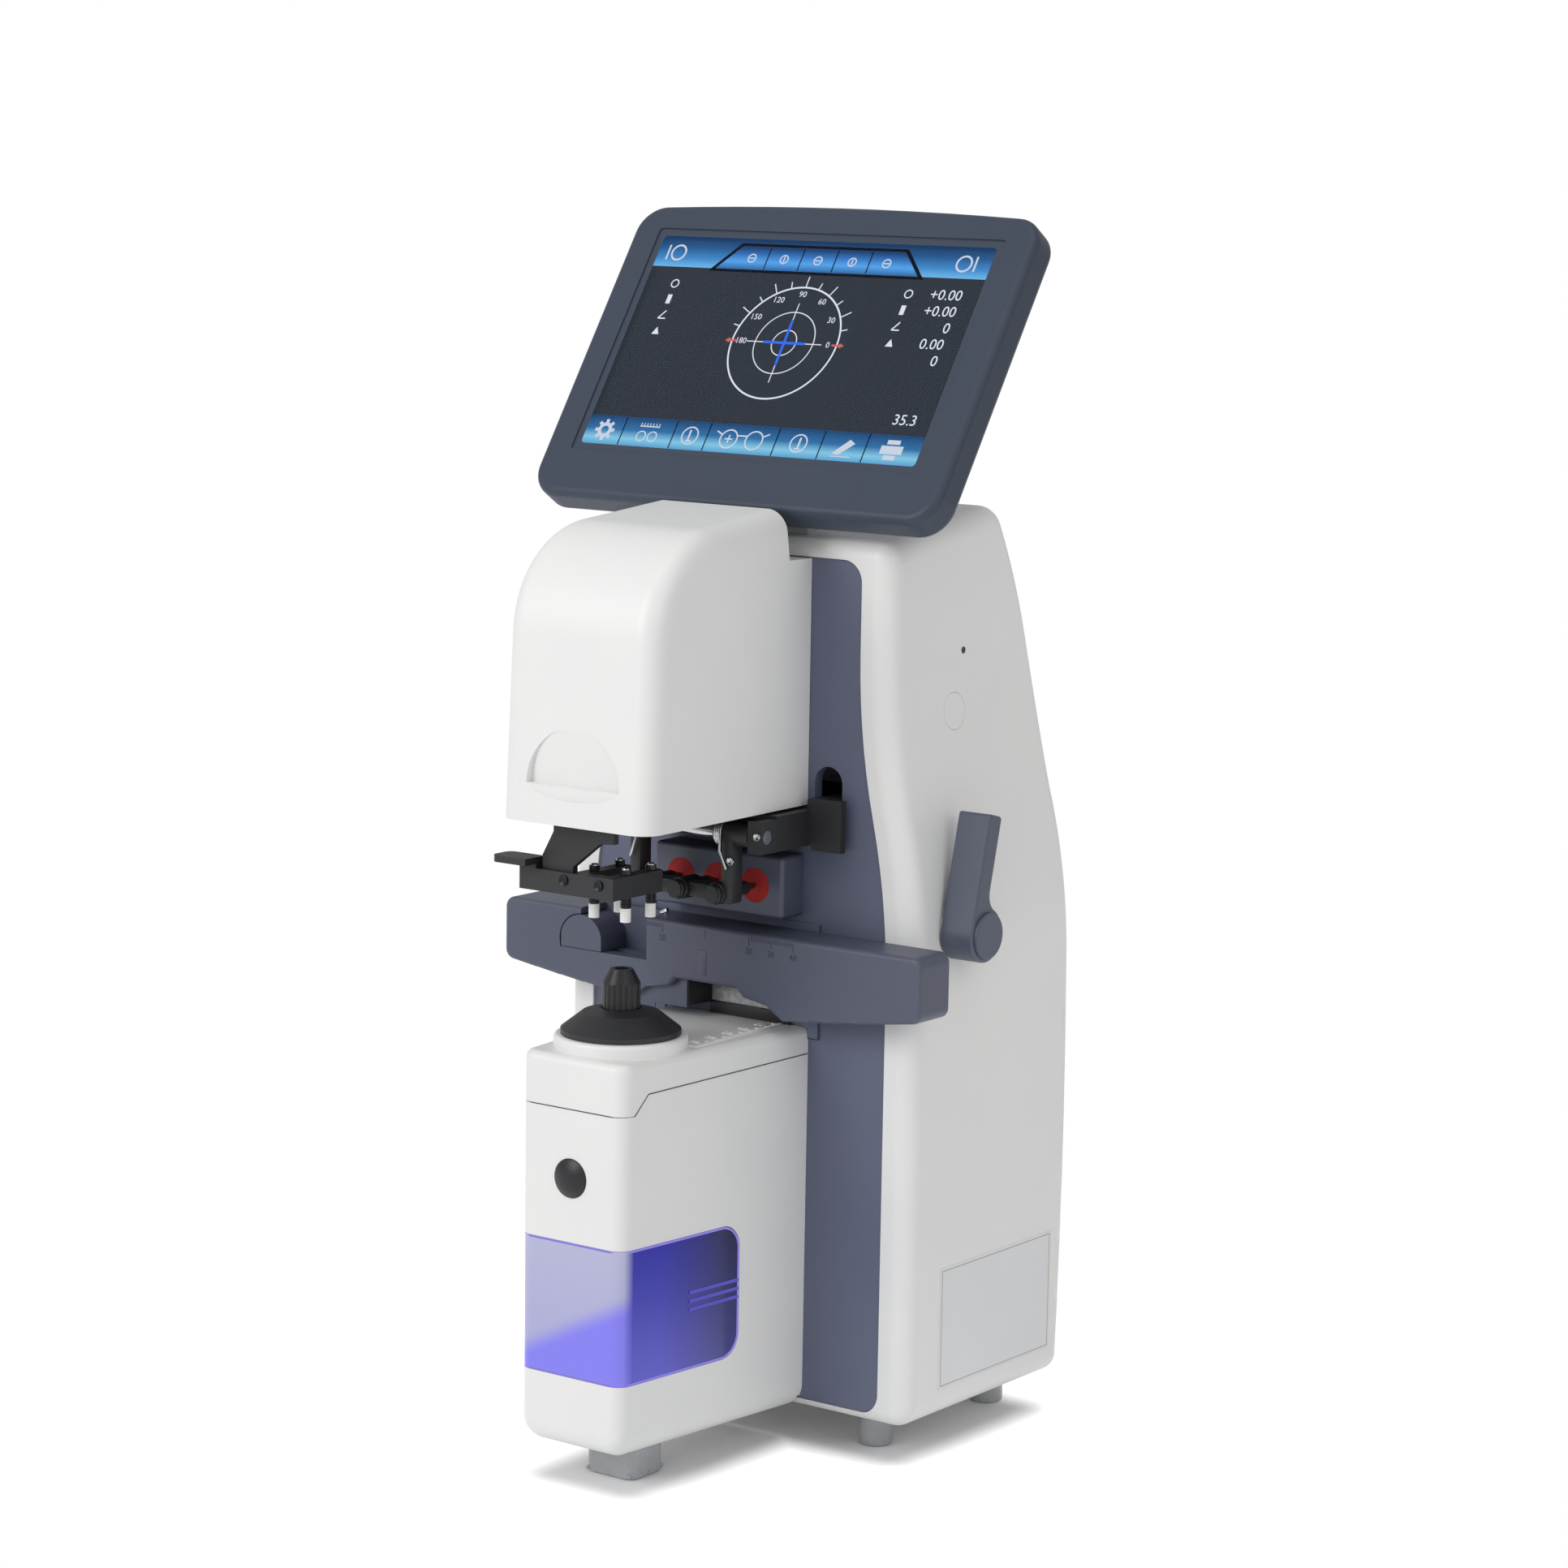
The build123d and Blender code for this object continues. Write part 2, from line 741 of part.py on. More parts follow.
# Receiving optics in the column, hung from the lid under the nose
with BuildPart() as optical_tube:
    rod(0, axis_y, tube_top - tube_length / 2, tube_radius, tube_length)
    rod(0, axis_y, column_top - lid_thickness - 1, tube_radius + 4, 2)
    rod(0, axis_y, tube_top - tube_length / 2, tube_radius - tube_wall, tube_length, mode=Mode.SUBTRACT)
keep(optical_tube, "optical_tube")

# Circuit boards in the column: the sensor's, the memory button's and the bay lamp's
sensor_top = tube_top - tube_length
button_back = column_front + button_depth
board_front = button_back + button_travel + 0.5
with BuildPart() as column_boards:
    block(-30, 30, axis_y - 13, axis_y + 13, sensor_top - board_thickness, sensor_top)
    block(-30, 30, board_front, board_front + board_thickness, button_height - 12, button_height + 12)
    block(-30, 30, column_front + 14, column_front + 50, bay_top + 3 - board_thickness, bay_top + 3)
    add(column_inside, mode=Mode.INTERSECT)
    block(-3.5, 3.5, axis_y - 3.5, axis_y + 3.5, sensor_top - 0.1, sensor_top + 1.2)
    with Locations((0, column_front + 32, bay_top + 2.5 - board_thickness)):
        with GridLocations(8, 9, 3, 4):
            Box(3, 3, 1.2)
keep(column_boards, "column_boards")

# Memory button, sprung against its board
button_stem = button_radius - 1.5
flange_front = casing_wall + fit
flange_rear = flange_front + button_flange_thickness
with BuildPart() as memory_button:
    with BuildSketch(side_plane(0, column_front, button_height)):
        with BuildLine():
            Polyline(
                (-button_stand, 0), (button_depth, 0), (button_depth, button_stem),
                (flange_rear, button_stem), (flange_rear, button_radius + button_flange),
                (flange_front, button_radius + button_flange), (flange_front, button_radius),
                (-button_lip, button_radius),
            )
            TangentArc((-button_stand, 0), (-button_lip, button_radius), tangent=(0, 1))
        make_face()
    revolve(axis=Axis((0, column_front, button_height), (0, 1, 0)))
keep(memory_button, "memory_button")

# Paper bay: liner, clear cover and the roll on its spindle
liner_rear = bay_rear + 3.0
with BuildPart() as bay_liner:
    block(-30, 30, liner_rear - 1.5, liner_rear, bay_bottom - 6, bay_top + 6)
    block(-30, 30, column_front, liner_rear - 1.5, bay_bottom - 4.5, bay_bottom - 3)
    block(-30, 30, column_front, liner_rear - 1.5, bay_top + 3, bay_top + 4.5)
    add(column_inside, mode=Mode.INTERSECT)
keep(bay_liner, "bay_liner")

cover_form = bay_solid(fit)
cover_inside = column_solid(cover_wall, foot_height - 5, column_top + 5)
with BuildPart() as clear_cover:
    add(column_form.part)
    add(cover_inside, mode=Mode.SUBTRACT)
    add(cover_form, mode=Mode.INTERSECT)
keep(clear_cover, "clear_cover")

roll_y = column_front + roll_depth
holder_half = roll_width / 2 + 0.5
with BuildPart() as roll_holder:
    for side in (-1, 1):
        middle = side * (holder_half + holder_wall / 2)
        block(middle - holder_wall / 2, middle + holder_wall / 2, roll_y - 5, liner_rear - 1.5,
              roll_height - 5, roll_height + 5)
    block(-holder_half, holder_half, liner_rear - 3.5, liner_rear - 1.5, roll_height - 5, roll_height + 5)
    rod(0, roll_y, roll_height, spindle_radius, 2 * (holder_half + holder_wall), ALONG_X)
keep(roll_holder, "roll_holder")

with BuildPart() as paper_roll:
    rod(0, roll_y, roll_height, roll_radius, roll_width, ALONG_X)
    rod(0, roll_y, roll_height, spindle_radius + bore_clearance, roll_width, ALONG_X, mode=Mode.SUBTRACT)
keep(paper_roll, "paper_roll")

# Feet and the base plate in the body
with BuildPart() as feet:
    with BuildSketch(Plane.XY):
        with Locations((0, front_foot_y)):
            RectangleRounded(front_foot_width, front_foot_depth, 5)
        with Locations((-rear_foot_x, rear_foot_y), (rear_foot_x, rear_foot_y)):
            Circle(foot_radius)
        with Locations((-middle_foot_x, middle_foot_y), (middle_foot_x, middle_foot_y)):
            Circle(foot_radius)
    extrude(amount=foot_height)
    fillet(feet.edges().group_by(Axis.Z)[0], radius=1.2)
keep(feet, "feet")

plate_half_width = body_half_width - body_wall - 6
plate_top = body_floor + plate_thickness
frame_y = column_front + frame_depth
with BuildPart() as base_plate:
    block(-plate_half_width, plate_half_width, panel_back + panel_flange + 4,
          body_bottom_rear - plate_rear_margin, body_floor, plate_top)
keep(base_plate, "base_plate")

# Upright frame in the body, with a window for the rack arm and two sloping rails for the marker
yoke_length = (yoke_forward ** 2 + yoke_drop ** 2) ** 0.5
rail_y = column_front + yoke_bar_depth
rail_start = rail_y - yoke_forward - 7
rail_low = yoke_bar_z - (rail_y - rail_start) * yoke_drop / yoke_forward
rail_high = yoke_bar_z + (frame_y + 1 - rail_y) * yoke_drop / yoke_forward
with BuildPart() as upright_frame:
    block(-frame_half_width, frame_half_width, frame_y, frame_y + frame_wall, plate_top, frame_top)
    block(-frame_half_width, frame_half_width, frame_y, frame_y + 22, plate_top, plate_top + frame_wall)
    for side in (-1, 1):
        block(side * frame_half_width - 1.5, side * frame_half_width + 1.5, frame_y, frame_y + 18,
              plate_top, frame_top)
    block(arm_left - 5, arm_right + 5, frame_y - 5, frame_y + 9, rack_bottom, pinion_z + pitch_radius + 4,
          mode=Mode.SUBTRACT)
    rod(guide_rod_x, frame_y, guide_rod_z, guide_rod_radius + 1.5, 30, ALONG_Y, mode=Mode.SUBTRACT)
    for side in (-1, 1):
        rod(side * rail_x, (rail_start + frame_y + 1) / 2, (rail_low + rail_high) / 2, rail_radius,
            (frame_y + 1 - rail_start) * yoke_length / yoke_forward, rail_turn)
keep(upright_frame, "upright_frame")

# Arm of the head, through the panel, with posts down to the head's base
head_base_top = head_bottom + base_thickness
with BuildPart() as head_frame:
    block(-head_plate_half, head_plate_half, head_plate_start, frame_y, head_plate_z,
          head_plate_z + head_plate_thickness)
    for side in (-1, 1):
        block(side * head_plate_half - 1.5, side * head_plate_half + 1.5, head_plate_start + 8, frame_y,
              head_plate_z, head_plate_z + 14)
    block(-head_plate_half, head_plate_half, frame_y - 3, frame_y, head_plate_z - 20, head_plate_z + 14)
    for x in (-post_x, post_x):
        block(x - 3, x + 3, column_front + 60, column_front + 66, head_base_top, head_plate_z)
        block(x - 3, x + 3, column_front + 40, column_front + 46, head_base_top, head_plate_z)
    rod(0, axis_y, head_plate_z, lamp_radius - 1, 30, mode=Mode.SUBTRACT)
keep(head_frame, "head_frame")

with BuildPart() as light_source:
    rod(0, axis_y, head_plate_z - lamp_height / 2, lamp_radius, lamp_height)
    rod(0, axis_y, head_plate_z + 4, lamp_radius - 1.2, 8)
    rod(0, axis_y, head_plate_z - lamp_height + 3, lamp_radius - 1.5, 6, mode=Mode.SUBTRACT)
keep(light_source, "light_source")

barrel_top = head_plate_z - lamp_height
with BuildPart() as collimator_barrel:
    rod(0, axis_y, (barrel_top + head_base_top) / 2, lamp_radius, barrel_top - head_base_top)
    rod(0, axis_y, (barrel_top + head_base_top) / 2, lamp_radius - 1.5, barrel_top - head_base_top,
        mode=Mode.SUBTRACT)
keep(collimator_barrel, "collimator_barrel")

# Glass lenses in the barrel above and in the tube below
with BuildPart() as lenses:
    for height, bore in ((head_base_top + 5, lamp_radius - 1.5), (tube_top - 18, tube_radius - tube_wall)):
        edge = bore - 0.02
        with BuildSketch(face_plane(0, axis_y, height)):
            with BuildLine():
                Polyline((0, -1.8), (edge, -1.0), (edge, 1.0), (0, 1.8), close=True)
            make_face()
        revolve(axis=lens_axis)
keep(lenses, "lenses")


def head_solid(inset, low, rear):
    """The head's form: leaning front, rounded brow and a top that rises to its rear step."""
    front = head_half_width - inset
    back = head_rear_half_width - inset
    with BuildPart() as form:
        with BuildSketch(Plane.YZ.offset(-50)) as view:
            with BuildLine():
                Polyline(
                    (head_front, head_bottom), (head_corner, head_corner_height),
                    (head_rear_top, head_rear_top_height), (head_rear_top + 3, head_rear_step),
                    (rear, head_rear_step), (rear, head_bottom), close=True,
                )
            make_face()
            if inset:
                offset(amount=-inset, kind=Kind.INTERSECTION)
            brow = view.vertices().sort_by(Axis.X)[:2].sort_by(Axis.Y)[-1]
            fillet(brow, radius=head_brow_radius - inset)
        extrude(amount=100)
        with BuildSketch(Plane.XY.offset(head_bottom - 5)):
            with BuildLine():
                Polyline((-front, head_front - 3), (front, head_front - 3), (back, rear + 3),
                         (-back, rear + 3), close=True)
            make_face()
        extrude(amount=200, mode=Mode.INTERSECT)
        outer = [e for e in form.edges() if abs(e.center().X) > head_rear_half_width - inset - 2]
        outer = [e for e in outer if e.center().Y < head_rear_top and e.center().Z > low + 5]
        fillet(outer, radius=head_edge - inset * 0.8)
    return form.part


head_rear = panel_face - 0.2
head_outer = head_solid(0, head_bottom, head_rear)
head_inner = head_solid(head_wall, head_bottom, head_rear)
with BuildPart() as head_mouth_cut:
    with BuildSketch(Plane.XY.offset(head_bottom - 1)):
        with BuildLine():
            Polyline(
                (-head_half_width + head_wall, head_front + head_wall + 0.6),
                (head_half_width - head_wall, head_front + head_wall + 0.6),
                (head_rear_half_width - head_wall, head_rear + 5),
                (-head_rear_half_width + head_wall, head_rear + 5), close=True,
            )
        mouth_face = make_face()
        fillet(mouth_face.vertices().group_by(Axis.Y)[0], radius=head_edge - head_wall)
    extrude(amount=head_wall + 3)
with BuildPart() as notch_moon:
    with BuildSketch(face_plane(0, head_front + 12, notch_bottom)):
        Circle(notch_half)
        with Locations((0, -notch_half)):
            Rectangle(3 * notch_half, 2 * notch_half, mode=Mode.SUBTRACT)
    extrude(amount=30)


def head_face(height):
    """Depth of the head's leaning front at a height."""
    share = (height - head_bottom) / (head_corner_height - head_bottom)
    return head_front + (head_corner - head_front) * share


notch_top = notch_bottom + notch_half + 1
with BuildPart() as notch_wedge:
    with BuildSketch(Plane.YZ.offset(-30)):
        with BuildLine():
            Polyline(
                (head_front - 10, notch_bottom), (head_face(notch_bottom) + notch_depth, notch_bottom),
                (head_face(notch_top) - 0.3, notch_top), (head_front - 10, notch_top),
                close=True,
            )
        make_face()
    extrude(amount=60)
    add(notch_moon.part, mode=Mode.INTERSECT)
with BuildPart() as notch_back:
    block(-notch_half - 2, notch_half + 2, head_front, head_front + 8, notch_bottom - 3, notch_top + 1)
    add(head_outer, mode=Mode.INTERSECT)
with BuildPart() as head_cover:
    add(head_outer)
    add(head_inner, mode=Mode.SUBTRACT)
    add(head_mouth_cut.part, mode=Mode.SUBTRACT)
    block(-head_rear_half_width + head_wall, head_rear_half_width - head_wall, head_rear - 8, head_rear + 5,
          head_bottom - 1, head_rear_step - head_wall, mode=Mode.SUBTRACT)
    add(notch_back.part)
    add(notch_wedge.part, mode=Mode.SUBTRACT)
keep(head_cover, "head_cover")

# Base of the head: a plate inside the cover's rim, open for the light and the presser's hanger
with BuildPart() as head_base:
    with BuildSketch(Plane.XY.offset(head_bottom)):
        with BuildLine():
            Polyline(
                (-head_half_width + head_wall + fit + 0.3, head_front + head_wall + 0.9),
                (head_half_width - head_wall - fit - 0.3, head_front + head_wall + 0.9),
                (head_rear_half_width - head_wall - fit, panel_face - 1),
                (-head_rear_half_width + head_wall + fit, panel_face - 1), close=True,
            )
        base_face = make_face()
        fillet(base_face.vertices().group_by(Axis.Y)[0], radius=head_edge - head_wall)
    extrude(amount=base_thickness)
    rod(0, axis_y, head_bottom, lamp_radius - 2, 20, mode=Mode.SUBTRACT)
    block(hanger_left - 0.8, hanger_right + 0.8, hanger_front - 0.8, hanger_front + hanger_depth + 0.8,
          head_bottom - 1, head_bottom + base_thickness + 1, mode=Mode.SUBTRACT)
keep(head_base, "head_base")

# Lens presser: guide in the head, hanger, block with two arms, thumb tab and four sprung pins
rail_left = hanger_rail_x - rail_half_width
rail_right = hanger_rail_x + rail_half_width
with BuildPart() as presser_guide:
    block(rail_left - 3, rail_right + 3, hanger_front - 3, hanger_front + hanger_depth + 3,
          head_base_top + 4, head_plate_z)
    block(rail_left - 0.1, rail_right + 0.1, hanger_front - 0.1, hanger_front + hanger_depth + 0.1,
          head_base_top, head_plate_z + 1, mode=Mode.SUBTRACT)
keep(presser_guide, "presser_guide")

presser_top = presser_bottom + presser_height
with BuildPart() as presser_hanger:
    with BuildSketch(face_plane(0, hanger_front + hanger_depth, 0)):
        with BuildLine():
            Polyline(
                (hanger_left, hanger_shoulder), (hanger_left, 238), (-24, 229), (-24, presser_top),
                (-10, presser_top), (-10, 226), (2, 235.5), (hanger_right, 236),
                (hanger_right, hanger_shoulder), (rail_right, hanger_shoulder), (rail_right, rail_top),
                (rail_left, rail_top), (rail_left, hanger_shoulder), close=True,
            )
        make_face()
    extrude(amount=hanger_depth)
keep(presser_hanger, "presser_hanger")

pin_half = pin_spacing / 2
bar_right = pin_half + presser_arm_width / 2
with BuildPart() as presser_block:
    block(presser_bar_left, bar_right, presser_bar_front, presser_bar_front + presser_bar_depth,
          presser_bottom, presser_top)
    for side in (-1, 1):
        block(side * pin_half - presser_arm_width / 2, side * pin_half + presser_arm_width / 2,
              presser_bar_front + presser_bar_depth, axis_y + pin_half + 3.3, presser_bottom, presser_top)
        for ahead in (-1, 1):
            rod(side * pin_half, axis_y + ahead * pin_half, presser_bottom, pin_radius + 0.1, 40,
                mode=Mode.SUBTRACT)
keep(presser_block, "presser_block")

with BuildPart() as thumb_tab:
    block(tab_left, tab_right, presser_bar_front - 6, presser_bar_front + presser_bar_depth,
          presser_top + 1.5, presser_top + 1.5 + tab_plate)
    fillet(thumb_tab.edges().filter_by(Axis.Z).group_by(Axis.X)[0], radius=3)
    block(presser_bar_left, tab_right, presser_bar_front, presser_bar_front + presser_bar_depth,
          presser_top, presser_top + 2)
keep(thumb_tab, "thumb_tab")

pin_names = ("front_left", "front_right", "rear_left", "rear_right")
pin_places = ((-1, -1), (1, -1), (-1, 1), (1, 1))
for name, place in zip(pin_names, pin_places):
    x = place[0] * pin_half
    y = axis_y + place[1] * pin_half
    with BuildPart() as presser_pin:
        rod(x, y, (pin_tip + presser_top + 0.5) / 2, pin_radius, presser_top + 0.5 - pin_tip)
        rod(x, y, pin_tip + pin_tip_length / 2, pin_tip_radius, pin_tip_length)
        rod(x, y, presser_top + 0.3 + pin_head / 2, pin_tip_radius, pin_head)
    keep(presser_pin, f"presser_pin_{name}")

# Ink box with three round pads, fixed to the panel
with BuildPart() as ink_box:
    block(-ink_half_width, ink_half_width, ink_front, panel_face, ink_bottom, ink_top)
    edges = ink_box.edges().filter_by(Axis.Y) + ink_box.edges().group_by(Axis.Y)[0]
    fillet(edges, radius=1.5)
    for place in (-1, 0, 1):
        rod(place * pen_spacing, ink_front, pen_height, pad_radius, 2 * pad_depth, ALONG_Y, mode=Mode.SUBTRACT)
keep(ink_box, "ink_box")

with BuildPart() as ink_pads:
    for place in (-1, 0, 1):
        rod(place * pen_spacing, ink_front + pad_depth / 2, pen_height, pad_radius - 0.02, pad_depth, ALONG_Y)
keep(ink_pads, "ink_pads")

# Marker: a yoke that slides out of the panel's slots and swings the pens down onto the optical axis
arm_inner = ink_half_width + 0.6
arm_outer = arm_inner + yoke_arm
with BuildPart() as marker_yoke:
    for side in (-1, 1):
        middle = side * (arm_inner + arm_outer) / 2
        block(middle - yoke_arm / 2, middle + yoke_arm / 2, pivot_y - 4, bracket_face + bracket_wall,
              pivot_z - 6, pivot_z + 6)
        plate_x = side * (bracket_inner + bracket_outer) / 2
        plate_half = (bracket_outer - bracket_inner) / 2
        block(plate_x - plate_half, plate_x + plate_half, bracket_face, bracket_face + bracket_wall,
              bracket_bottom, bracket_top)
        block(min(middle, plate_x), max(middle, plate_x), bracket_face, bracket_face + bracket_wall,
              pivot_z - 6, pivot_z + 6)
        neck_x = side * (slot_inner + slot_outer) / 2
        block(neck_x - neck_half, neck_x + neck_half, bracket_face, rail_y + 3, neck_bottom, neck_top)
        rod(side * rail_x, rail_y, yoke_bar_z, rail_radius + 3, 8, rail_turn)
    block(-arm_outer, arm_outer, pivot_y + 6, bracket_face + bracket_wall, pivot_z + 3, pivot_z + 7)
    block(-neck_outer, neck_outer, rail_y - 3, rail_y + 3, yoke_bar_z - 3, neck_top)
    rod(0, pivot_y, pivot_z, pivot_radius, 100, ALONG_X, mode=Mode.SUBTRACT)
    for side in (-1, 1):
        rod(side * rail_x, rail_y, yoke_bar_z, rail_radius + 0.1, 40, rail_turn, mode=Mode.SUBTRACT)
keep(marker_yoke, "marker_yoke")

with BuildPart() as pivot_shaft:
    rod(0, pivot_y, pivot_z, pivot_radius - 0.01, 2 * arm_outer, ALONG_X)
keep(pivot_shaft, "pivot_shaft")

holder_front = pen_front + 1.0
with BuildPart() as pen_holder:
    block(-holder_reach, holder_reach, holder_front, holder_front + 6, pen_height - 5, pen_height + 5)
    for side in (-1, 1):
        block(side * (holder_reach - 2) - 2, side * (holder_reach - 2) + 2, holder_front + 2,
              holder_front + 8, pen_height - 5, pivot_z)
        rod(side * (boss_start + arm_inner - 0.3) / 2, pivot_y, pivot_z, boss_radius,
            arm_inner - 0.3 - boss_start, ALONG_X)
    rod(0, pivot_y, pivot_z, pivot_radius + bore_clearance, 100, ALONG_X, mode=Mode.SUBTRACT)
    for place in (-1, 0, 1):
        rod(place * pen_spacing, holder_front, pen_height, pen_radius + 0.02, 40, ALONG_Y, mode=Mode.SUBTRACT)
keep(pen_holder, "pen_holder")

pen_tip = ink_front - pad_gap
with BuildPart() as marker_pens:
    for place in (-1, 0, 1):
        with BuildSketch(side_plane(place * pen_spacing, 0, pen_height)):
            with BuildLine():
                Polyline(
                    (pen_front, 0), (pen_front, pen_collar_radius), (holder_front, pen_collar_radius),
                    (holder_front, pen_radius), (pen_tip - 6, pen_radius), (pen_tip - 2, 1.2),
                    (pen_tip, 0.8), (pen_tip, 0), close=True,
                )
            make_face()
        revolve(axis=Axis((place * pen_spacing, 0, pen_height), (0, 1, 0)))
keep(marker_pens, "marker_pens")

# Lens table: front outline with an arch in the middle, a recess for the bridge rest and a pocket for the arm
table_low_arc = (table_half_width + table_low_half) / 2
table_rear = table_front + table_depth
pocket_top = recess_floor - rest_groove - 1.2
rest_rise = rest_crest - rest_shoulder
rest_radius = (rest_half_width ** 2 + rest_rise ** 2) / (2 * rest_rise)
recess_start = rest_home - rest_half_width - nest_gap
recess_rear = table_front + recess_depth
with BuildPart() as rest_recess:
    rod(rest_home, recess_rear - 10, rest_crest - rest_radius, rest_radius + nest_gap, 20, ALONG_Y)
    block(recess_start, rest_home, recess_rear - 20, recess_rear, recess_floor, rest_shoulder)
    block(rest_home, recess_end, recess_rear - 20, recess_rear, recess_floor, table_top + 1)
    block(recess_start - 1, recess_end, recess_rear - 20, recess_rear, recess_floor, table_top + 1,
          mode=Mode.INTERSECT)
with BuildPart() as table_bar:
    with BuildSketch(face_plane(0, table_rear, 0)) as table_view:
        with BuildLine():
            Polyline(
                (0, table_arch_top), (table_arch_half, table_arch_top), (table_step_half, table_step_height),
                (table_low_start, table_low_shoulder), (table_low_half, table_low),
            )
            ThreePointArc(
                (table_low_half, table_low), (table_low_arc, table_low + table_sag),
                (table_half_width, table_top - table_end_height),
            )
            Polyline(
                (table_half_width, table_top - table_end_height), (table_half_width, table_top), (0, table_top),
            )
            mirror(about=Plane.YZ)
        make_face()
        ends = table_view.vertices().group_by(Axis.X)
        fillet(ends[0] + ends[-1], radius=table_corner)
    extrude(amount=table_depth)
    rims = table_bar.edges().group_by(Axis.Y)
    fillet(rims[0], radius=table_edge)
    add(rest_recess.part, mode=Mode.SUBTRACT)
    block(recess_start, recess_end, table_front + groove_start, table_front + groove_start + groove_width,
          recess_floor - rest_groove, recess_floor + 1, mode=Mode.SUBTRACT)
    block(arm_left, arm_right, rack_front, table_rear + 1, table_low - 1, pocket_top, mode=Mode.SUBTRACT)
    rod(guide_rod_x, table_rear, guide_rod_z, guide_rod_radius, 2 * rod_socket, ALONG_Y, mode=Mode.SUBTRACT)
keep(table_bar, "table_bar")

with BuildPart() as bridge_rest:
    with BuildSketch(face_plane(rest_home, table_front + recess_depth - rest_gap, 0)):
        with BuildLine():
            Polyline(
                (-rest_half_width, rest_shoulder), (-rest_half_width, recess_floor + rest_gap),
                (rest_half_width, recess_floor + rest_gap), (rest_half_width, rest_shoulder),
            )
            ThreePointArc((rest_half_width, rest_shoulder), (0, rest_crest), (-rest_half_width, rest_shoulder))
        make_face()
    extrude(amount=recess_depth - 2 * rest_gap)
    block(rest_home - 5, rest_home + 5, table_front + groove_start + rest_gap,
          table_front + groove_start + groove_width - rest_gap,
          recess_floor - rest_groove + rest_gap, recess_floor + 1)
keep(bridge_rest, "bridge_rest")

# Rack arm and guide rod, which carry the table into the body
idler_y = pinion_y + 2 * pitch_radius + mesh_gap
rack_pitch = pi * gear_module
rack_teeth = int((table_travel + 4) / rack_pitch) + 2
arm_rear = idler_y + (rack_teeth - 1.5) * rack_pitch + 3
with BuildPart() as rack_arm:
    block(arm_left, arm_right, rack_front, arm_rear, rack_bottom, pocket_top)
    block(arm_left, arm_right, table_rear + 1.5, arm_rear, pocket_top, arm_top)
    with BuildSketch(side_plane(rack_x - pinion_width / 2 - 0.5, 0, rack_line)):
        for step in range(rack_teeth):
            tooth_y = idler_y + (step - 0.5) * rack_pitch
            with BuildLine():
                Polyline(
                    (tooth_y - tooth_base / 2, -tooth_root - 0.2), (tooth_y - tooth_base / 2, -tooth_root),
                    (tooth_y - tooth_end / 2, tooth_tip), (tooth_y + tooth_end / 2, tooth_tip),
                    (tooth_y + tooth_base / 2, -tooth_root), (tooth_y + tooth_base / 2, -tooth_root - 0.2),
                    close=True,
                )
            make_face()
    extrude(amount=pinion_width + 1)
keep(rack_arm, "rack_arm")

with BuildPart() as guide_rod:
    rod(guide_rod_x, (table_rear - rod_socket + rod_rear) / 2, guide_rod_z, guide_rod_radius - 0.02,
        rod_rear - table_rear + rod_socket, ALONG_Y)
keep(guide_rod, "guide_rod")

# Slide bearing for the arm and the rod, with cheeks that carry the gears
cheek_left = arm_left - 0.1
cheek_right = arm_right + 0.1
guide_front = panel_back + panel_flange + 1.5
with BuildPart() as table_guide:
    block(cheek_left - cheek, guide_rod_x + 8, guide_front, frame_y, rack_bottom - 4.5, rack_bottom - 0.1)
    block(cheek_left - cheek, cheek_left, guide_front, frame_y, rack_bottom - 4.5, pinion_z + 8)
    block(cheek_right, cheek_right + cheek, guide_front, frame_y, rack_bottom - 4.5, pinion_z + 8)
    for inner, outer in ((cheek_left - cheek, cheek_left), (cheek_right, cheek_right + cheek)):
        block(inner, outer, frame_y - 1, idler_y + 7, rack_bottom + 0.8, pinion_z + 8)
    block(guide_rod_x - 8, guide_rod_x + 8, guide_front, frame_y, rack_bottom - 4.5,
          guide_rod_z + guide_rod_radius + 4)
    rod(guide_rod_x, frame_y, guide_rod_z, guide_rod_radius + bore_clearance, 200, ALONG_Y, mode=Mode.SUBTRACT)
    rod(0, pinion_y, pinion_z, shaft_radius + bore_clearance, 200, ALONG_X, mode=Mode.SUBTRACT)
    rod(rack_x, idler_y, pinion_z, axle_radius, rack_width + 1, ALONG_X)
keep(table_guide, "table_guide")


def gear_tooth():
    """One straight-flanked tooth on the pitch circle, pointing outward, in the open sketch."""
    with BuildSketch(mode=Mode.PRIVATE) as tooth:
        with BuildLine():
            Polyline(
                (-tooth_root - 0.5, -tooth_base / 2), (-tooth_root - 0.5, tooth_base / 2),
                (-tooth_root, tooth_base / 2), (tooth_tip, tooth_end / 2), (tooth_tip, -tooth_end / 2),
                (-tooth_root, -tooth_base / 2), close=True,
            )
        make_face()
    add(tooth.sketch)


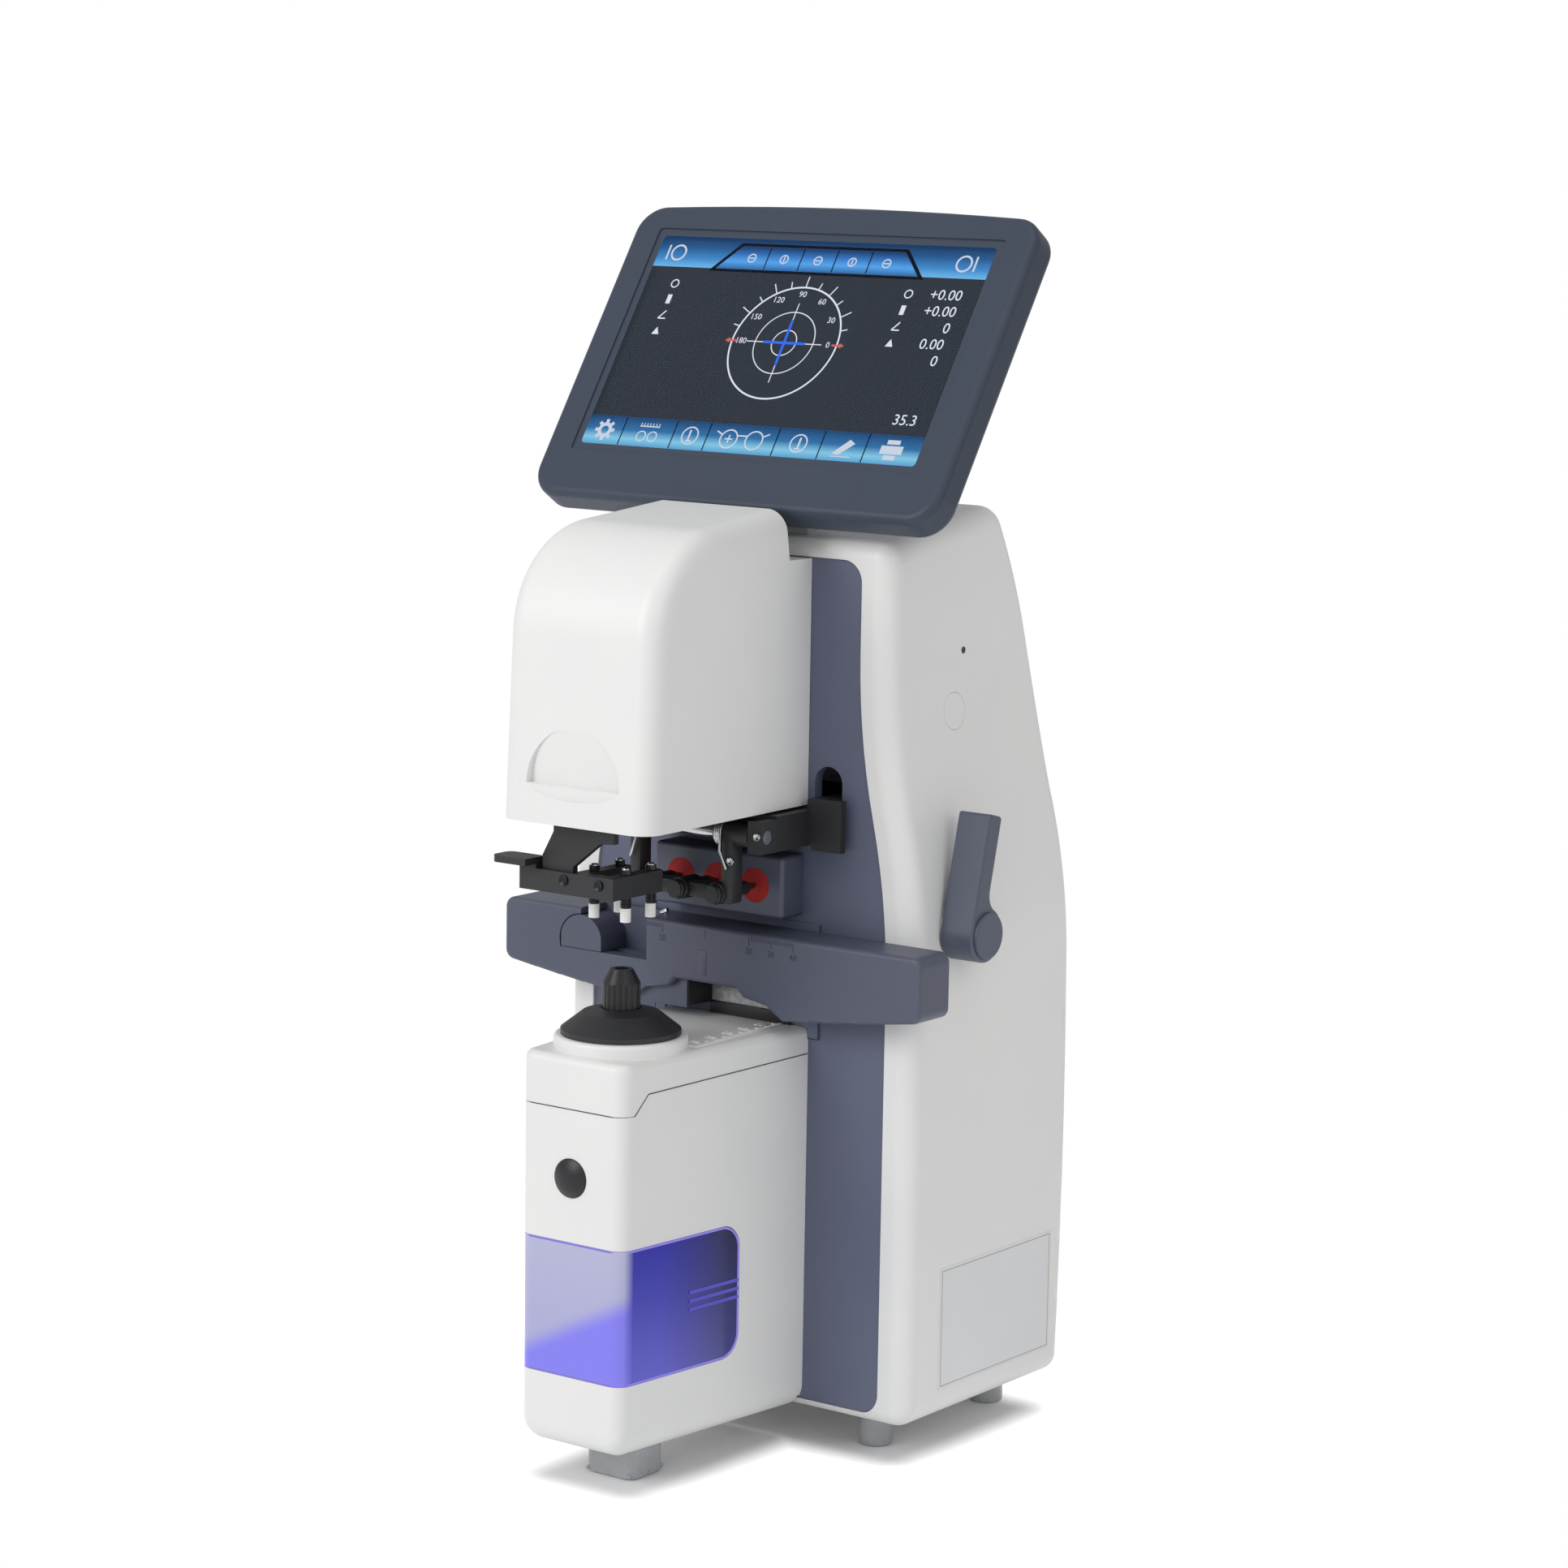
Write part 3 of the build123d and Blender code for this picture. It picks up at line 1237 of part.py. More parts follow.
# Lever gear, a quarter of a wheel that clears the panel, and the idler that turns the motion round
tooth_step = 360 / gear_teeth
gear_start = rack_x - pinion_width / 2
sector_steps = int(lever_turn / tooth_step) + 2
with BuildPart() as lever_gear:
    with BuildSketch(side_plane(gear_start, pinion_y, pinion_z)):
        Circle(pitch_radius - tooth_root)
        with BuildLine():
            Polyline(
                (0, 0), (60 * cos(radians(17)), 60 * sin(radians(17))), (60, -60),
                (60 * cos(radians(-113)), 60 * sin(radians(-113))), close=True,
            )
        make_face(mode=Mode.INTERSECT)
        Circle(shaft_radius + 4)
        with PolarLocations(pitch_radius, sector_steps + 1, start_angle=-(sector_steps - 1) * tooth_step,
                            angular_range=sector_steps * tooth_step, endpoint=True):
            gear_tooth()
        Circle(shaft_radius, mode=Mode.SUBTRACT)
    extrude(amount=pinion_width)
keep(lever_gear, "lever_gear")

with BuildPart() as idler_gear:
    with BuildSketch(side_plane(gear_start, idler_y, pinion_z)):
        Circle(pitch_radius - tooth_root)
        with PolarLocations(pitch_radius, gear_teeth, start_angle=tooth_step / 2):
            gear_tooth()
    extrude(amount=pinion_width)
    rod(rack_x, idler_y, pinion_z, axle_radius + 2, rack_width - 0.6, ALONG_X)
    rod(rack_x, idler_y, pinion_z, axle_radius + bore_clearance, 60, ALONG_X, mode=Mode.SUBTRACT)
keep(idler_gear, "idler_gear")

# Lever shaft with its bush in the side wall, the lever and its cap
hub_inner = lever_outer - lever_thickness
bush_end = hub_inner - fit
with BuildPart() as lever_bush:
    rod(bush_end - bush_length / 2, pinion_y, pinion_z, bush_radius, bush_length, ALONG_X)
    rod(bush_end - bush_length + 2.5, pinion_y, pinion_z, bush_radius + 3, 3, ALONG_X)
    rod(bush_end, pinion_y, pinion_z, shaft_radius + bore_clearance, 100, ALONG_X, mode=Mode.SUBTRACT)
keep(lever_bush, "lever_bush")

shaft_left = cheek_left - cheek
shaft_right = lever_outer - 2.0
with BuildPart() as lever_shaft:
    rod((shaft_left + shaft_right) / 2, pinion_y, pinion_z, shaft_radius - 0.01, shaft_right - shaft_left,
        ALONG_X)
keep(lever_shaft, "lever_shaft")

lean = radians(lever_lean)
with BuildPart() as lever_arm:
    with BuildSketch(side_plane(hub_inner, pinion_y, pinion_z)):
        Circle(lever_hub_radius)
    lever_plane = Plane(origin=(hub_inner, pinion_y, pinion_z), x_dir=(0, cos(lean), -sin(lean)),
                        z_dir=(1, 0, 0))
    with BuildSketch(lever_plane):
        with Locations((lever_arm_width / 2 - lever_hub_radius, lever_reach / 2)):
            RectangleRounded(lever_arm_width, lever_reach, 1.4)
        with Locations((lever_arm_width / 2 - lever_hub_radius, lever_reach / 4)):
            Rectangle(lever_arm_width, lever_reach / 2)
    extrude(amount=lever_thickness)
    neck_x = lever_arm_width - lever_hub_radius
    neck_up = (lever_hub_radius ** 2 - neck_x ** 2) ** 0.5
    neck = Vector(hub_inner + lever_thickness / 2, pinion_y + neck_x * cos(lean) + neck_up * sin(lean),
                  pinion_z - neck_x * sin(lean) + neck_up * cos(lean))
    fillet(lever_arm.edges().filter_by(Axis.X).sort_by_distance(neck)[0], radius=lever_neck_radius)
    fillet(lever_arm.edges().group_by(Axis.X)[-1], radius=1.0)
    rod((hub_inner + shaft_right) / 2 - 1, pinion_y, pinion_z, shaft_radius, shaft_right - hub_inner + 2,
        ALONG_X, mode=Mode.SUBTRACT)
keep(lever_arm, "lever_arm")

with BuildPart() as lever_cap:
    rod(lever_outer + lever_cap_height / 2, pinion_y, pinion_z, lever_cap_radius, lever_cap_height, ALONG_X)
    fillet(lever_cap.edges().group_by(Axis.X)[-1], radius=0.6)
keep(lever_cap, "lever_cap")

# Power supply and main board on the upright frame
with BuildPart() as power_supply:
    block(-supply_half, supply_half, frame_y - supply_depth, frame_y, supply_bottom, supply_top)
keep(power_supply, "power_supply")

with BuildPart() as main_board:
    board_y = frame_y + frame_wall + 4
    block(-board_half, board_half, board_y, board_y + board_thickness, board_bottom, board_top)
    block(-20, 14, board_y + board_thickness, board_y + board_thickness + 2, board_bottom + 50,
          board_bottom + 80)
    block(20, 32, board_y + board_thickness, board_y + board_thickness + 9, board_bottom + 20,
          board_bottom + 60)
    for x in (-board_half + 5, board_half - 5):
        for z in (board_bottom + 5, board_top - 5):
            rod(x, frame_y + frame_wall + 2, z, 3, 4, ALONG_Y)
keep(main_board, "main_board")

# Tilting screen: bezel, rear shell with two lugs, display and its cover glass
lean_back = radians(tilt)
screen_out = (0, -cos(lean_back), sin(lean_back))


def screen_plane(depth):
    """Plane of the screen, moved back from the glass by a depth, with its origin at the display's foot."""
    foot = (0, display_foot_y + cos(lean_back) * depth, display_foot_z - sin(lean_back) * depth)
    return Plane(origin=foot, x_dir=(1, 0, 0), z_dir=screen_out)


def screen_outline(inset):
    """Outline of the screen's casing, with a slightly crowned top edge."""
    half = screen_half_width - inset
    low = inset - screen_below
    high = display_height + screen_above - inset
    with BuildSketch(mode=Mode.PRIVATE) as outline:
        with BuildLine():
            Polyline((-half, high), (-half, low), (half, low), (half, high))
            ThreePointArc((half, high), (0, high + screen_crown), (-half, high))
        make_face()
        fillet(outline.vertices(), radius=screen_corner - inset)
    return outline.sketch


casing_outline = screen_outline(0)
casing_inner = screen_outline(screen_wall)
with BuildPart() as screen_bezel:
    with BuildSketch(screen_plane(bezel_depth)):
        add(casing_outline)
    extrude(amount=bezel_depth + bezel_rise)
    fillet(screen_bezel.faces().sort_by(Axis(origin=(0, 0, 0), direction=screen_out))[-1].edges(),
           radius=screen_edge)
    with BuildSketch(screen_plane(bezel_depth)):
        add(casing_inner)
    extrude(amount=bezel_depth - glass_thickness - 0.2, mode=Mode.SUBTRACT)
    with BuildSketch(screen_plane(bezel_depth)):
        with Locations((0, display_height / 2)):
            RectangleRounded(display_width + 2 * glass_margin + fit, display_height + 2 * glass_margin + fit,
                             1.5)
    extrude(amount=bezel_depth + 5, mode=Mode.SUBTRACT)
keep(screen_bezel, "screen_bezel")

with BuildPart() as touch_glass:
    with BuildSketch(screen_plane(glass_thickness)):
        with Locations((0, display_height / 2)):
            RectangleRounded(display_width + 2 * glass_margin, display_height + 2 * glass_margin, 1.3)
    extrude(amount=glass_thickness)
keep(touch_glass, "touch_glass")

with BuildPart() as display_panel:
    with BuildSketch(screen_plane(bezel_depth)):
        with Locations((0, display_height / 2)):
            Rectangle(display_width + 2 * glass_margin + 3, display_height + 2 * glass_margin + 3)
    extrude(amount=bezel_depth - glass_thickness - 0.25)
keep(display_panel, "display_panel")

lug_middle = (lug_inner + lug_outer) / 2
hinge_pivot = Vector(0, hinge_y, hinge_z)
with BuildPart() as screen_back:
    with BuildSketch(screen_plane(bezel_depth + rear_depth)):
        add(casing_outline)
    extrude(amount=rear_depth)
    fillet(screen_back.faces().sort_by(Axis(origin=(0, 0, 0), direction=screen_out))[0].edges(),
           radius=screen_edge)
    with BuildSketch(screen_plane(bezel_depth + rear_depth - screen_wall)):
        add(casing_inner)
    extrude(amount=rear_depth, mode=Mode.SUBTRACT)
    hinge_level = screen_plane(0).to_local_coords(hinge_pivot)
    for side in (-1, 1):
        with BuildSketch(screen_plane(-hinge_level.Z)):
            with Locations((side * lug_middle, hinge_level.Y)):
                Rectangle(lug_outer - lug_inner, 2 * hinge_radius)
        extrude(amount=-hinge_level.Z - bezel_depth - rear_depth + 1)
        rod(side * lug_middle, hinge_y, hinge_z, hinge_radius, lug_outer - lug_inner, ALONG_X)
    rod(0, hinge_y, hinge_z, hinge_pin_radius + bore_clearance, 100, ALONG_X, mode=Mode.SUBTRACT)
keep(screen_back, "screen_back")

# Hinge bracket on the body's sloping top, with its pin
top_slope = (body_crown_height - body_shoulder_height) / (body_crown_rear - body_face)


def roof(y):
    """Height of the body's top at a depth."""
    return body_shoulder_height + (y - body_face) * top_slope


bracket_start = hinge_y - 12
bracket_end = hinge_y + 14
with BuildPart() as screen_bracket:
    with BuildSketch(side_plane(-hinge_half_span - 4, 0, 0)):
        with BuildLine():
            Polyline(
                (bracket_start, roof(bracket_start)), (bracket_end, roof(bracket_end)),
                (bracket_end, roof(bracket_end) + 2.5), (bracket_start, roof(bracket_start) + 2.5), close=True,
            )
        make_face()
    extrude(amount=2 * hinge_half_span + 8)
    for start, end in ((-hinge_half_span, -lug_outer - fit), (fit - lug_inner, lug_inner - fit),
                       (lug_outer + fit, hinge_half_span)):
        block(start, end, hinge_y - hinge_radius, hinge_y + hinge_radius, roof(hinge_y) + 1, hinge_z)
        rod((start + end) / 2, hinge_y, hinge_z, hinge_radius, end - start, ALONG_X)
    rod(0, hinge_y, hinge_z, hinge_pin_radius, 100, ALONG_X, mode=Mode.SUBTRACT)
keep(screen_bracket, "screen_bracket")

with BuildPart() as hinge_pin:
    rod(0, hinge_y, hinge_z, hinge_pin_radius - 0.01, 2 * hinge_half_span + 2, ALONG_X)
keep(hinge_pin, "hinge_pin")
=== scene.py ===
# %% [markdown]
# # Auto lensmeter
# A lensmeter measures the power of a spectacle lens. The lens rests on a small nose, four sprung pins
# hold it down, and a tilting screen shows the reading. The solid parts come from a CAD model, so this
# lesson is about dressing a fixed frame: what each part is made of, and the small fittings that CAD
# leaves out.

# %% Load the CAD frame
import json
import math

import bmesh
import bpy
from mathutils import Matrix, Vector


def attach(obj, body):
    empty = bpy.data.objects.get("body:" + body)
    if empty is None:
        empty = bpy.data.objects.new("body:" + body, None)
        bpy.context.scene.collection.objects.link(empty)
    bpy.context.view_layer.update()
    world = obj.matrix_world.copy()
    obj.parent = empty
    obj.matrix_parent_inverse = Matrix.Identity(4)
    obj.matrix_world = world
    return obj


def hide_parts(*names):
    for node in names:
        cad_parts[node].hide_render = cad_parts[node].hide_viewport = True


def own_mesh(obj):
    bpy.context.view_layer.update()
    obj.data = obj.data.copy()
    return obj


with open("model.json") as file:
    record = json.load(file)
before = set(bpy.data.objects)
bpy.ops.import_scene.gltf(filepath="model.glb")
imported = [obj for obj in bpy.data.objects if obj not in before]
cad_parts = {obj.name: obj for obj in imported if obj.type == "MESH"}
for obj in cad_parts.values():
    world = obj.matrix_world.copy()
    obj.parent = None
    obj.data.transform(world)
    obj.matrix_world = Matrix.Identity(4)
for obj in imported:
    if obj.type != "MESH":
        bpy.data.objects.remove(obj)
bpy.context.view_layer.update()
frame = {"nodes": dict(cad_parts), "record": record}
nodes = frame["nodes"]

# %% [markdown]
# Blender works in metres, and the parts are a few millimetres in size. One function turns three plain
# numbers in millimetres into a place: across from the middle, back from the front face of the narrow
# column, and up from the table that it stands on. Another turns a colour code, as a paint program shows it,
# into the linear numbers that Blender's light sums work with.

# %% Units, places and colours
MM = 0.001
COLUMN_FRONT = -101.3


def at(across, back, up):
    """Place in metres from millimetres across, behind the column's front face, and up."""
    return Vector((across, back + COLUMN_FRONT, up)) * MM


def linear(code):
    """Linear colour with alpha from an sRGB hex code such as 'ECECEA'."""
    parts = [int(code[i:i + 2], 16) / 255 for i in (0, 2, 4)]
    curve = [c / 12.92 if c <= 0.04045 else ((c + 0.055) / 1.055) ** 2.4 for c in parts]
    return (*curve, 1.0)


# %% [markdown]
# A material is a small network of nodes. Rather than place each node by hand, one function adds a node,
# sets its options and either fills or links its sockets. Every material below is made with it. Sockets
# that share a name, as a maths node's do, are given in their order; all others go by name.

# %% One function for every node
def add_node(tree, kind, settings=None, *in_order, **named):
    """Add a node. A socket's value is a number, vector or colour to set, or another socket to link."""
    node = tree.nodes.new(kind)
    for option, value in (settings or {}).items():
        setattr(node, option, value)
    filled = list(zip(node.inputs, in_order))
    for name, value in named.items():
        wanted = name.replace("_", " ")
        filled.append((next(s for s in node.inputs if s.name == wanted and s.enabled), value))
    for socket, value in filled:
        if isinstance(value, bpy.types.NodeSocket):
            tree.links.new(value, socket)
        else:
            socket.default_value = value
    return node


def start_material(name, colour, roughness, **shader_sockets):
    """New material with one principled shader. Returns it, its tree, the shader and the coordinates."""
    material = bpy.data.materials.new(name)
    material.use_nodes = True
    tree = material.node_tree
    tree.nodes.clear()
    shader = add_node(tree, "ShaderNodeBsdfPrincipled", Base_Color=linear(colour), Roughness=roughness,
                      **shader_sockets)
    add_node(tree, "ShaderNodeOutputMaterial", Surface=shader.outputs[0])
    place = add_node(tree, "ShaderNodeTexCoord").outputs["Object"]
    return material, tree, shader, place


# %% [markdown]
# Most of the casing is injection-moulded ABS. The mould is spark eroded, which leaves an even fine grain
# that scatters the highlight, and large mouldings vary very slightly in colour and gloss. Real grain is
# about 0.1 mm. That is finer than a pixel here, so it is drawn at the given size, just coarse enough
# to break up the gloss.

# %% Moulded plastic
def moulded(name, colour, shade, roughness, grain=0.7, depth=0.02, patch=35.0, **shader_sockets):
    """Moulded plastic: two close colours in large soft patches, a fine grain, and an uneven gloss."""
    material, tree, shader, place = start_material(name, colour, roughness, **shader_sockets)
    patches = add_node(tree, "ShaderNodeTexNoise", Vector=place, Scale=1 / (patch * MM), Detail=2.0)
    blend = add_node(tree, "ShaderNodeMix", {"data_type": "RGBA"}, Factor=patches.outputs["Fac"],
                     A=linear(colour), B=linear(shade))
    grains = add_node(tree, "ShaderNodeTexNoise", Vector=place, Scale=1 / (grain * MM), Detail=2.0)
    bump = add_node(tree, "ShaderNodeBump", Strength=0.35, Distance=depth * MM, Height=grains.outputs["Fac"])
    gloss = add_node(tree, "ShaderNodeMapRange", Value=grains.outputs["Fac"], From_Min=0.3, From_Max=0.7,
                     To_Min=roughness - 0.05, To_Max=roughness + 0.05)
    tree.links.new(blend.outputs[2], shader.inputs["Base Color"])
    tree.links.new(gloss.outputs["Result"], shader.inputs["Roughness"])
    tree.links.new(bump.outputs["Normal"], shader.inputs["Normal"])
    return material


# Casing: a soft, even white that shows its form by shading alone.
white_abs = moulded("white_ABS_spark_textured", "EDEDEB", "E6E7E6", 0.42, IOR=1.53)
# Lens table and levers: a dull blue grey whose edges stay quiet.
slate_abs = moulded("slate_ABS_spark_textured", "525769", "4D5264", 0.46, IOR=1.53)
# Front panel: the same plastic, a shade lighter; the lighter colour is painted light, standing for the extra
# light that falls on the panel.
panel_abs_painted_lighter = moulded("slate_ABS_front_panel_painted_lighter", "626880", "5C6278", 0.48, IOR=1.53)
# Screen frame: darker and with little shine, so that it doesn't compete with the picture.
bezel_abs = moulded("dark_slate_ABS_satin", "3B4454", "374050", 0.46, IOR=1.53, Specular_IOR_Level=0.35)
# Plain black fittings: dull faces, with a thin light along the edges.
black_abs = moulded("black_ABS_matt", "222325", "27282B", 0.50, IOR=1.53, patch=12.0)
# Turned black parts: a tighter highlight than moulded ones have.
black_gloss = moulded("black_acetal_machined", "1C1D1F", "212224", 0.36, IOR=1.48, patch=8.0)
# Buttons: dark and faintly oily, as silicone is.
button_rubber = moulded("black_silicone_rubber", "1E1F22", "26272A", 0.38, IOR=1.43, patch=9.0)
# Paper bay: black plastic; the violet light of the bay's lamp is painted into its colour and a faint glow.
liner_painted_violet_light = moulded("black_liner_painted_violet_light", "2B2A66", "232258", 0.55, patch=20.0,
                       Emission_Color=linear("3A34C8"), Emission_Strength=0.22)
# Paper roll: dull white, with the same violet lamp light painted into its colour as a tint.
paper_painted_violet_light = moulded("thermal_paper_wound_painted_violet_light", "DADAF6", "CFCFF0", 0.62, grain=0.5, depth=0.05)
# Small turned parts: a milky white that lets some light into its edges.
nylon_white = moulded("white_nylon_turned", "F0F0EE", "E8E8E6", 0.35, grain=0.4, IOR=1.53,
                      Subsurface_Weight=0.1, Subsurface_Radius=(0.002, 0.002, 0.002))
# Ink pads: deep red fibres without a highlight.
red_felt = moulded("red_inked_felt", "B4201E", "8E1414", 0.78, grain=0.6, depth=0.25, patch=3.0)
print("Plastics:", len(bpy.data.materials))

# %% [markdown]
# Metals differ by how they were worked. Turned and drawn steel shows fine lines along the work, plated
# screws are smooth and bright, sheet aluminium is slightly brushed, and cut brass is warm and clean.
# Stretching a noise pattern strongly along one axis draws such lines. Real ones are far below a tenth of a
# millimetre wide, too fine to show here, so they are drawn at 0.4 mm.

# %% Metals
WORK_LINE = 0.4


def worked_metal(name, colour, shade, roughness, stretch=(1.0, 12.0, 1.0)):
    """Metal with fine lines: a noise that a Mapping node squeezes, so it is drawn out along one axis."""
    material, tree, shader, place = start_material(name, colour, roughness, Metallic=1.0)
    squeeze = add_node(tree, "ShaderNodeMapping", Vector=place, Scale=tuple(1 / s for s in stretch))
    lines = add_node(tree, "ShaderNodeTexNoise", Vector=squeeze.outputs[0],
                     Scale=1 / (WORK_LINE * MM), Detail=3.0)
    blend = add_node(tree, "ShaderNodeMix", {"data_type": "RGBA"}, Factor=lines.outputs["Fac"],
                     A=linear(colour), B=linear(shade))
    gloss = add_node(tree, "ShaderNodeMapRange", Value=lines.outputs["Fac"], From_Min=0.3, From_Max=0.7,
                     To_Min=roughness - 0.06, To_Max=roughness + 0.08)
    tree.links.new(blend.outputs[2], shader.inputs["Base Color"])
    tree.links.new(gloss.outputs["Result"], shader.inputs["Roughness"])
    return material


# Screws, shafts and rods: bright plating that breaks reflections into thin lines.
bright_steel = worked_metal("nickel_plated_steel", "D6D8DA", "B8BBBE", 0.18)
# Dark screws and springs: an oiled black with a low sheen.
dark_steel = worked_metal("black_oxide_steel", "3A3C40", "2A2B2E", 0.32)
# Frames inside: pale sheet with a broad soft glow.
sheet_aluminium = worked_metal("brushed_sheet_aluminium", "C9CBCE", "B4B7BA", 0.34, stretch=(14.0, 1.0, 1.0))
# Optical tube: nearly black, lighter only where it turns away.
black_aluminium = worked_metal("black_anodised_aluminium", "2C2D31", "1F2023", 0.38)
# Gears: yellow and clean where the cutter passed.
gear_brass = worked_metal("cut_brass", "C9A55C", "B08C48", 0.26)
print("With metals:", len(bpy.data.materials))

# %% [markdown]
# The last few finishes are each one of a kind: the lens and screen glass, the green circuit boards, the
# grey translucent feet and the display's dark panel. Clear glass gets no roughness at all. Even a little
# would blur what lies behind it and leave speckles in a short render.

# %% Glass, boards, feet and display
def clear_glass(name, colour, shade, index):
    """Polished glass with a faint uneven coating. An anti-reflective coating is drawn as a low index."""
    material, tree, shader, place = start_material(name, colour, 0.0, IOR=index, Transmission_Weight=1.0)
    haze = add_node(tree, "ShaderNodeTexNoise", Vector=place, Scale=1 / (18 * MM))
    coat = add_node(tree, "ShaderNodeMix", {"data_type": "RGBA"}, Factor=haze.outputs["Fac"],
                    A=linear(colour), B=linear(shade))
    tree.links.new(coat.outputs[2], shader.inputs["Base Color"])
    return material


def circuit_board():
    """Glass-epoxy board under green resist, with a faint pattern of copper tracks."""
    material, tree, shader, place = start_material("green_FR4_board", "1F5A36", 0.35, IOR=1.5)
    tracks = add_node(tree, "ShaderNodeTexBrick", Vector=place, Scale=1 / (4 * MM), Mortar_Size=0.06,
                      Color1=linear("1E5634"), Color2=linear("225F3A"), Mortar=linear("3F8A55"))
    tree.links.new(tracks.outputs["Color"], shader.inputs["Base Color"])
    return material


# Lenses: almost colourless, seen by what they bend and reflect.
lens_glass = clear_glass("optical_glass", "F4F7FA", "EEF3F7", 1.52)
# Screen glass: so little reflection that the picture stays clear.
touch_glass = clear_glass("anti_reflective_screen_glass", "FAFBFD", "F7F9FC", 1.12)
board_green = circuit_board()
# Feet: grey and a little see-through, with a soft shine.
foot_grey = moulded("grey_translucent_TPU", "BFC1C4", "AFB1B5", 0.32, IOR=1.5, patch=4.0,
                    Transmission_Weight=0.25)
# Display: dark but never fully black, because its backlight leaks through.
display_black = moulded("LCD_panel_dark", "0C0D10", "0A0B0E", 0.5, patch=60.0,
                        Emission_Color=linear("2F353E"), Emission_Strength=0.95, Specular_IOR_Level=0.0)
print("With glass and boards:", len(bpy.data.materials))

# %% [markdown]
# The clear cover is lit from inside by the paper bay's lamp, and that light is painted into its colour and a
# faint glow. Its front looks milky, with a painted violet wedge of light low down that rises to the right,
# and its sides are deep blue and darken to the rear as painted shade. All of it is placed by object
# coordinates, so the pattern stays on the cover when it slides off.

# %% Lit clear cover
def lit_cover():
    """Clear polycarbonate, milky in front and deep blue at the sides, that gives off a little light: the bay
    lamp's light painted into its colour and glow.
    """
    material, tree, shader, place = start_material(
        "clear_polycarbonate_painted_violet_light", "8080E0", 0.10, IOR=1.58, Transmission_Weight=0.2,
        Emission_Strength=0.42, Specular_IOR_Level=0.2)
    split = add_node(tree, "ShaderNodeSeparateXYZ", Vector=place)
    height = add_node(tree, "ShaderNodeMapRange", Value=split.outputs["Z"], From_Min=42.5 * MM,
                      From_Max=92.5 * MM).outputs["Result"]
    corner = add_node(tree, "ShaderNodeMapRange", Value=split.outputs["Y"],
                      From_Min=(COLUMN_FRONT + 2.6) * MM, From_Max=(COLUMN_FRONT + 6.4) * MM)
    # Painted shade: the sides darken towards the rear, and the blue darkens upwards, as the bay lamp's light
    # falls off.
    rear = add_node(tree, "ShaderNodeMapRange", Value=split.outputs["Y"],
                    From_Min=(COLUMN_FRONT + 22) * MM, From_Max=(COLUMN_FRONT + 56) * MM)
    slant = add_node(tree, "ShaderNodeVectorMath", {"operation": "DOT_PRODUCT"}, place, (-0.5, 0.0, 1.0))
    painted_light_wedge = add_node(tree, "ShaderNodeMapRange", {"interpolation_type": "SMOOTHSTEP"},
                     Value=slant.outputs["Value"], From_Min=56 * MM, From_Max=66 * MM)
    milky = add_node(tree, "ShaderNodeMix", {"data_type": "RGBA"}, Factor=height, A=linear("9898BE"),
                     B=linear("A3A3BC"))
    front = add_node(tree, "ShaderNodeMix", {"data_type": "RGBA"}, Factor=painted_light_wedge.outputs["Result"],
                     A=linear("7874D2"), B=milky.outputs[2])
    blue = add_node(tree, "ShaderNodeMix", {"data_type": "RGBA"}, Factor=height, A=linear("4A48AE"),
                    B=linear("141690"))
    deep = add_node(tree, "ShaderNodeMix", {"data_type": "RGBA"}, Factor=height, A=linear("303272"),
                    B=linear("10123A"))
    side = add_node(tree, "ShaderNodeMix", {"data_type": "RGBA"}, Factor=rear.outputs["Result"],
                    A=blue.outputs[2], B=deep.outputs[2])
    blend = add_node(tree, "ShaderNodeMix", {"data_type": "RGBA"}, Factor=corner.outputs["Result"],
                     A=front.outputs[2], B=side.outputs[2])
    tree.links.new(blend.outputs[2], shader.inputs["Base Color"])
    tree.links.new(blend.outputs[2], shader.inputs["Emission Color"])
    return material


cover_painted_light = lit_cover()
print("Materials so far:", len(bpy.data.materials))

# %% [markdown]
# A CAD node keeps its mesh, so its finish is given by putting a material in its slot. The record says which
# finish each node has, and one table turns those names into the materials made above. A second table holds
# the few nodes whose finish the photograph shows to be different, and the front panel, whose lighter slate
# is painted light on the same plastic.

# %% Dress the CAD nodes
FINISH = {
    "casing_white": white_abs, "slate_plastic": slate_abs, "black_plastic": black_abs,
    "frame_aluminium": sheet_aluminium, "steel": bright_steel, "circuit_board": board_green,
    "anodised_tube": black_aluminium, "button_rubber": button_rubber, "bay_liner": liner_painted_violet_light,
    "clear_cover": cover_painted_light, "paper": paper_painted_violet_light, "foot_rubber": foot_grey, "lens_glass": lens_glass,
    "pin_nylon": nylon_white, "ink_felt": red_felt, "gear_brass": gear_brass, "screen_glass": touch_glass,
    "display": display_black,
}
SPECIAL = {
    "front_panel": panel_abs_painted_lighter, "lever_bush": nylon_white, "screen_bezel": bezel_abs,
    "screen_back": bezel_abs, "lens_stop_nose": black_gloss, "marker_pens": black_gloss,
}
for part in frame["record"]["subparts"]:
    piece = nodes[part["node"]]
    piece.data.materials.clear()
    piece.data.materials.append(SPECIAL.get(part["node"], FINISH[part["material_slot"]]))

# %% [markdown]
# The pins are white only at their tips. The upper part is a black sleeve, and because a pin slides without
# turning, its height alone tells the two apart. The pattern is read in object coordinates, so it stays
# with the pin as it lifts.

# %% Two-colour pins
SLEEVE_FOOT = 212.0


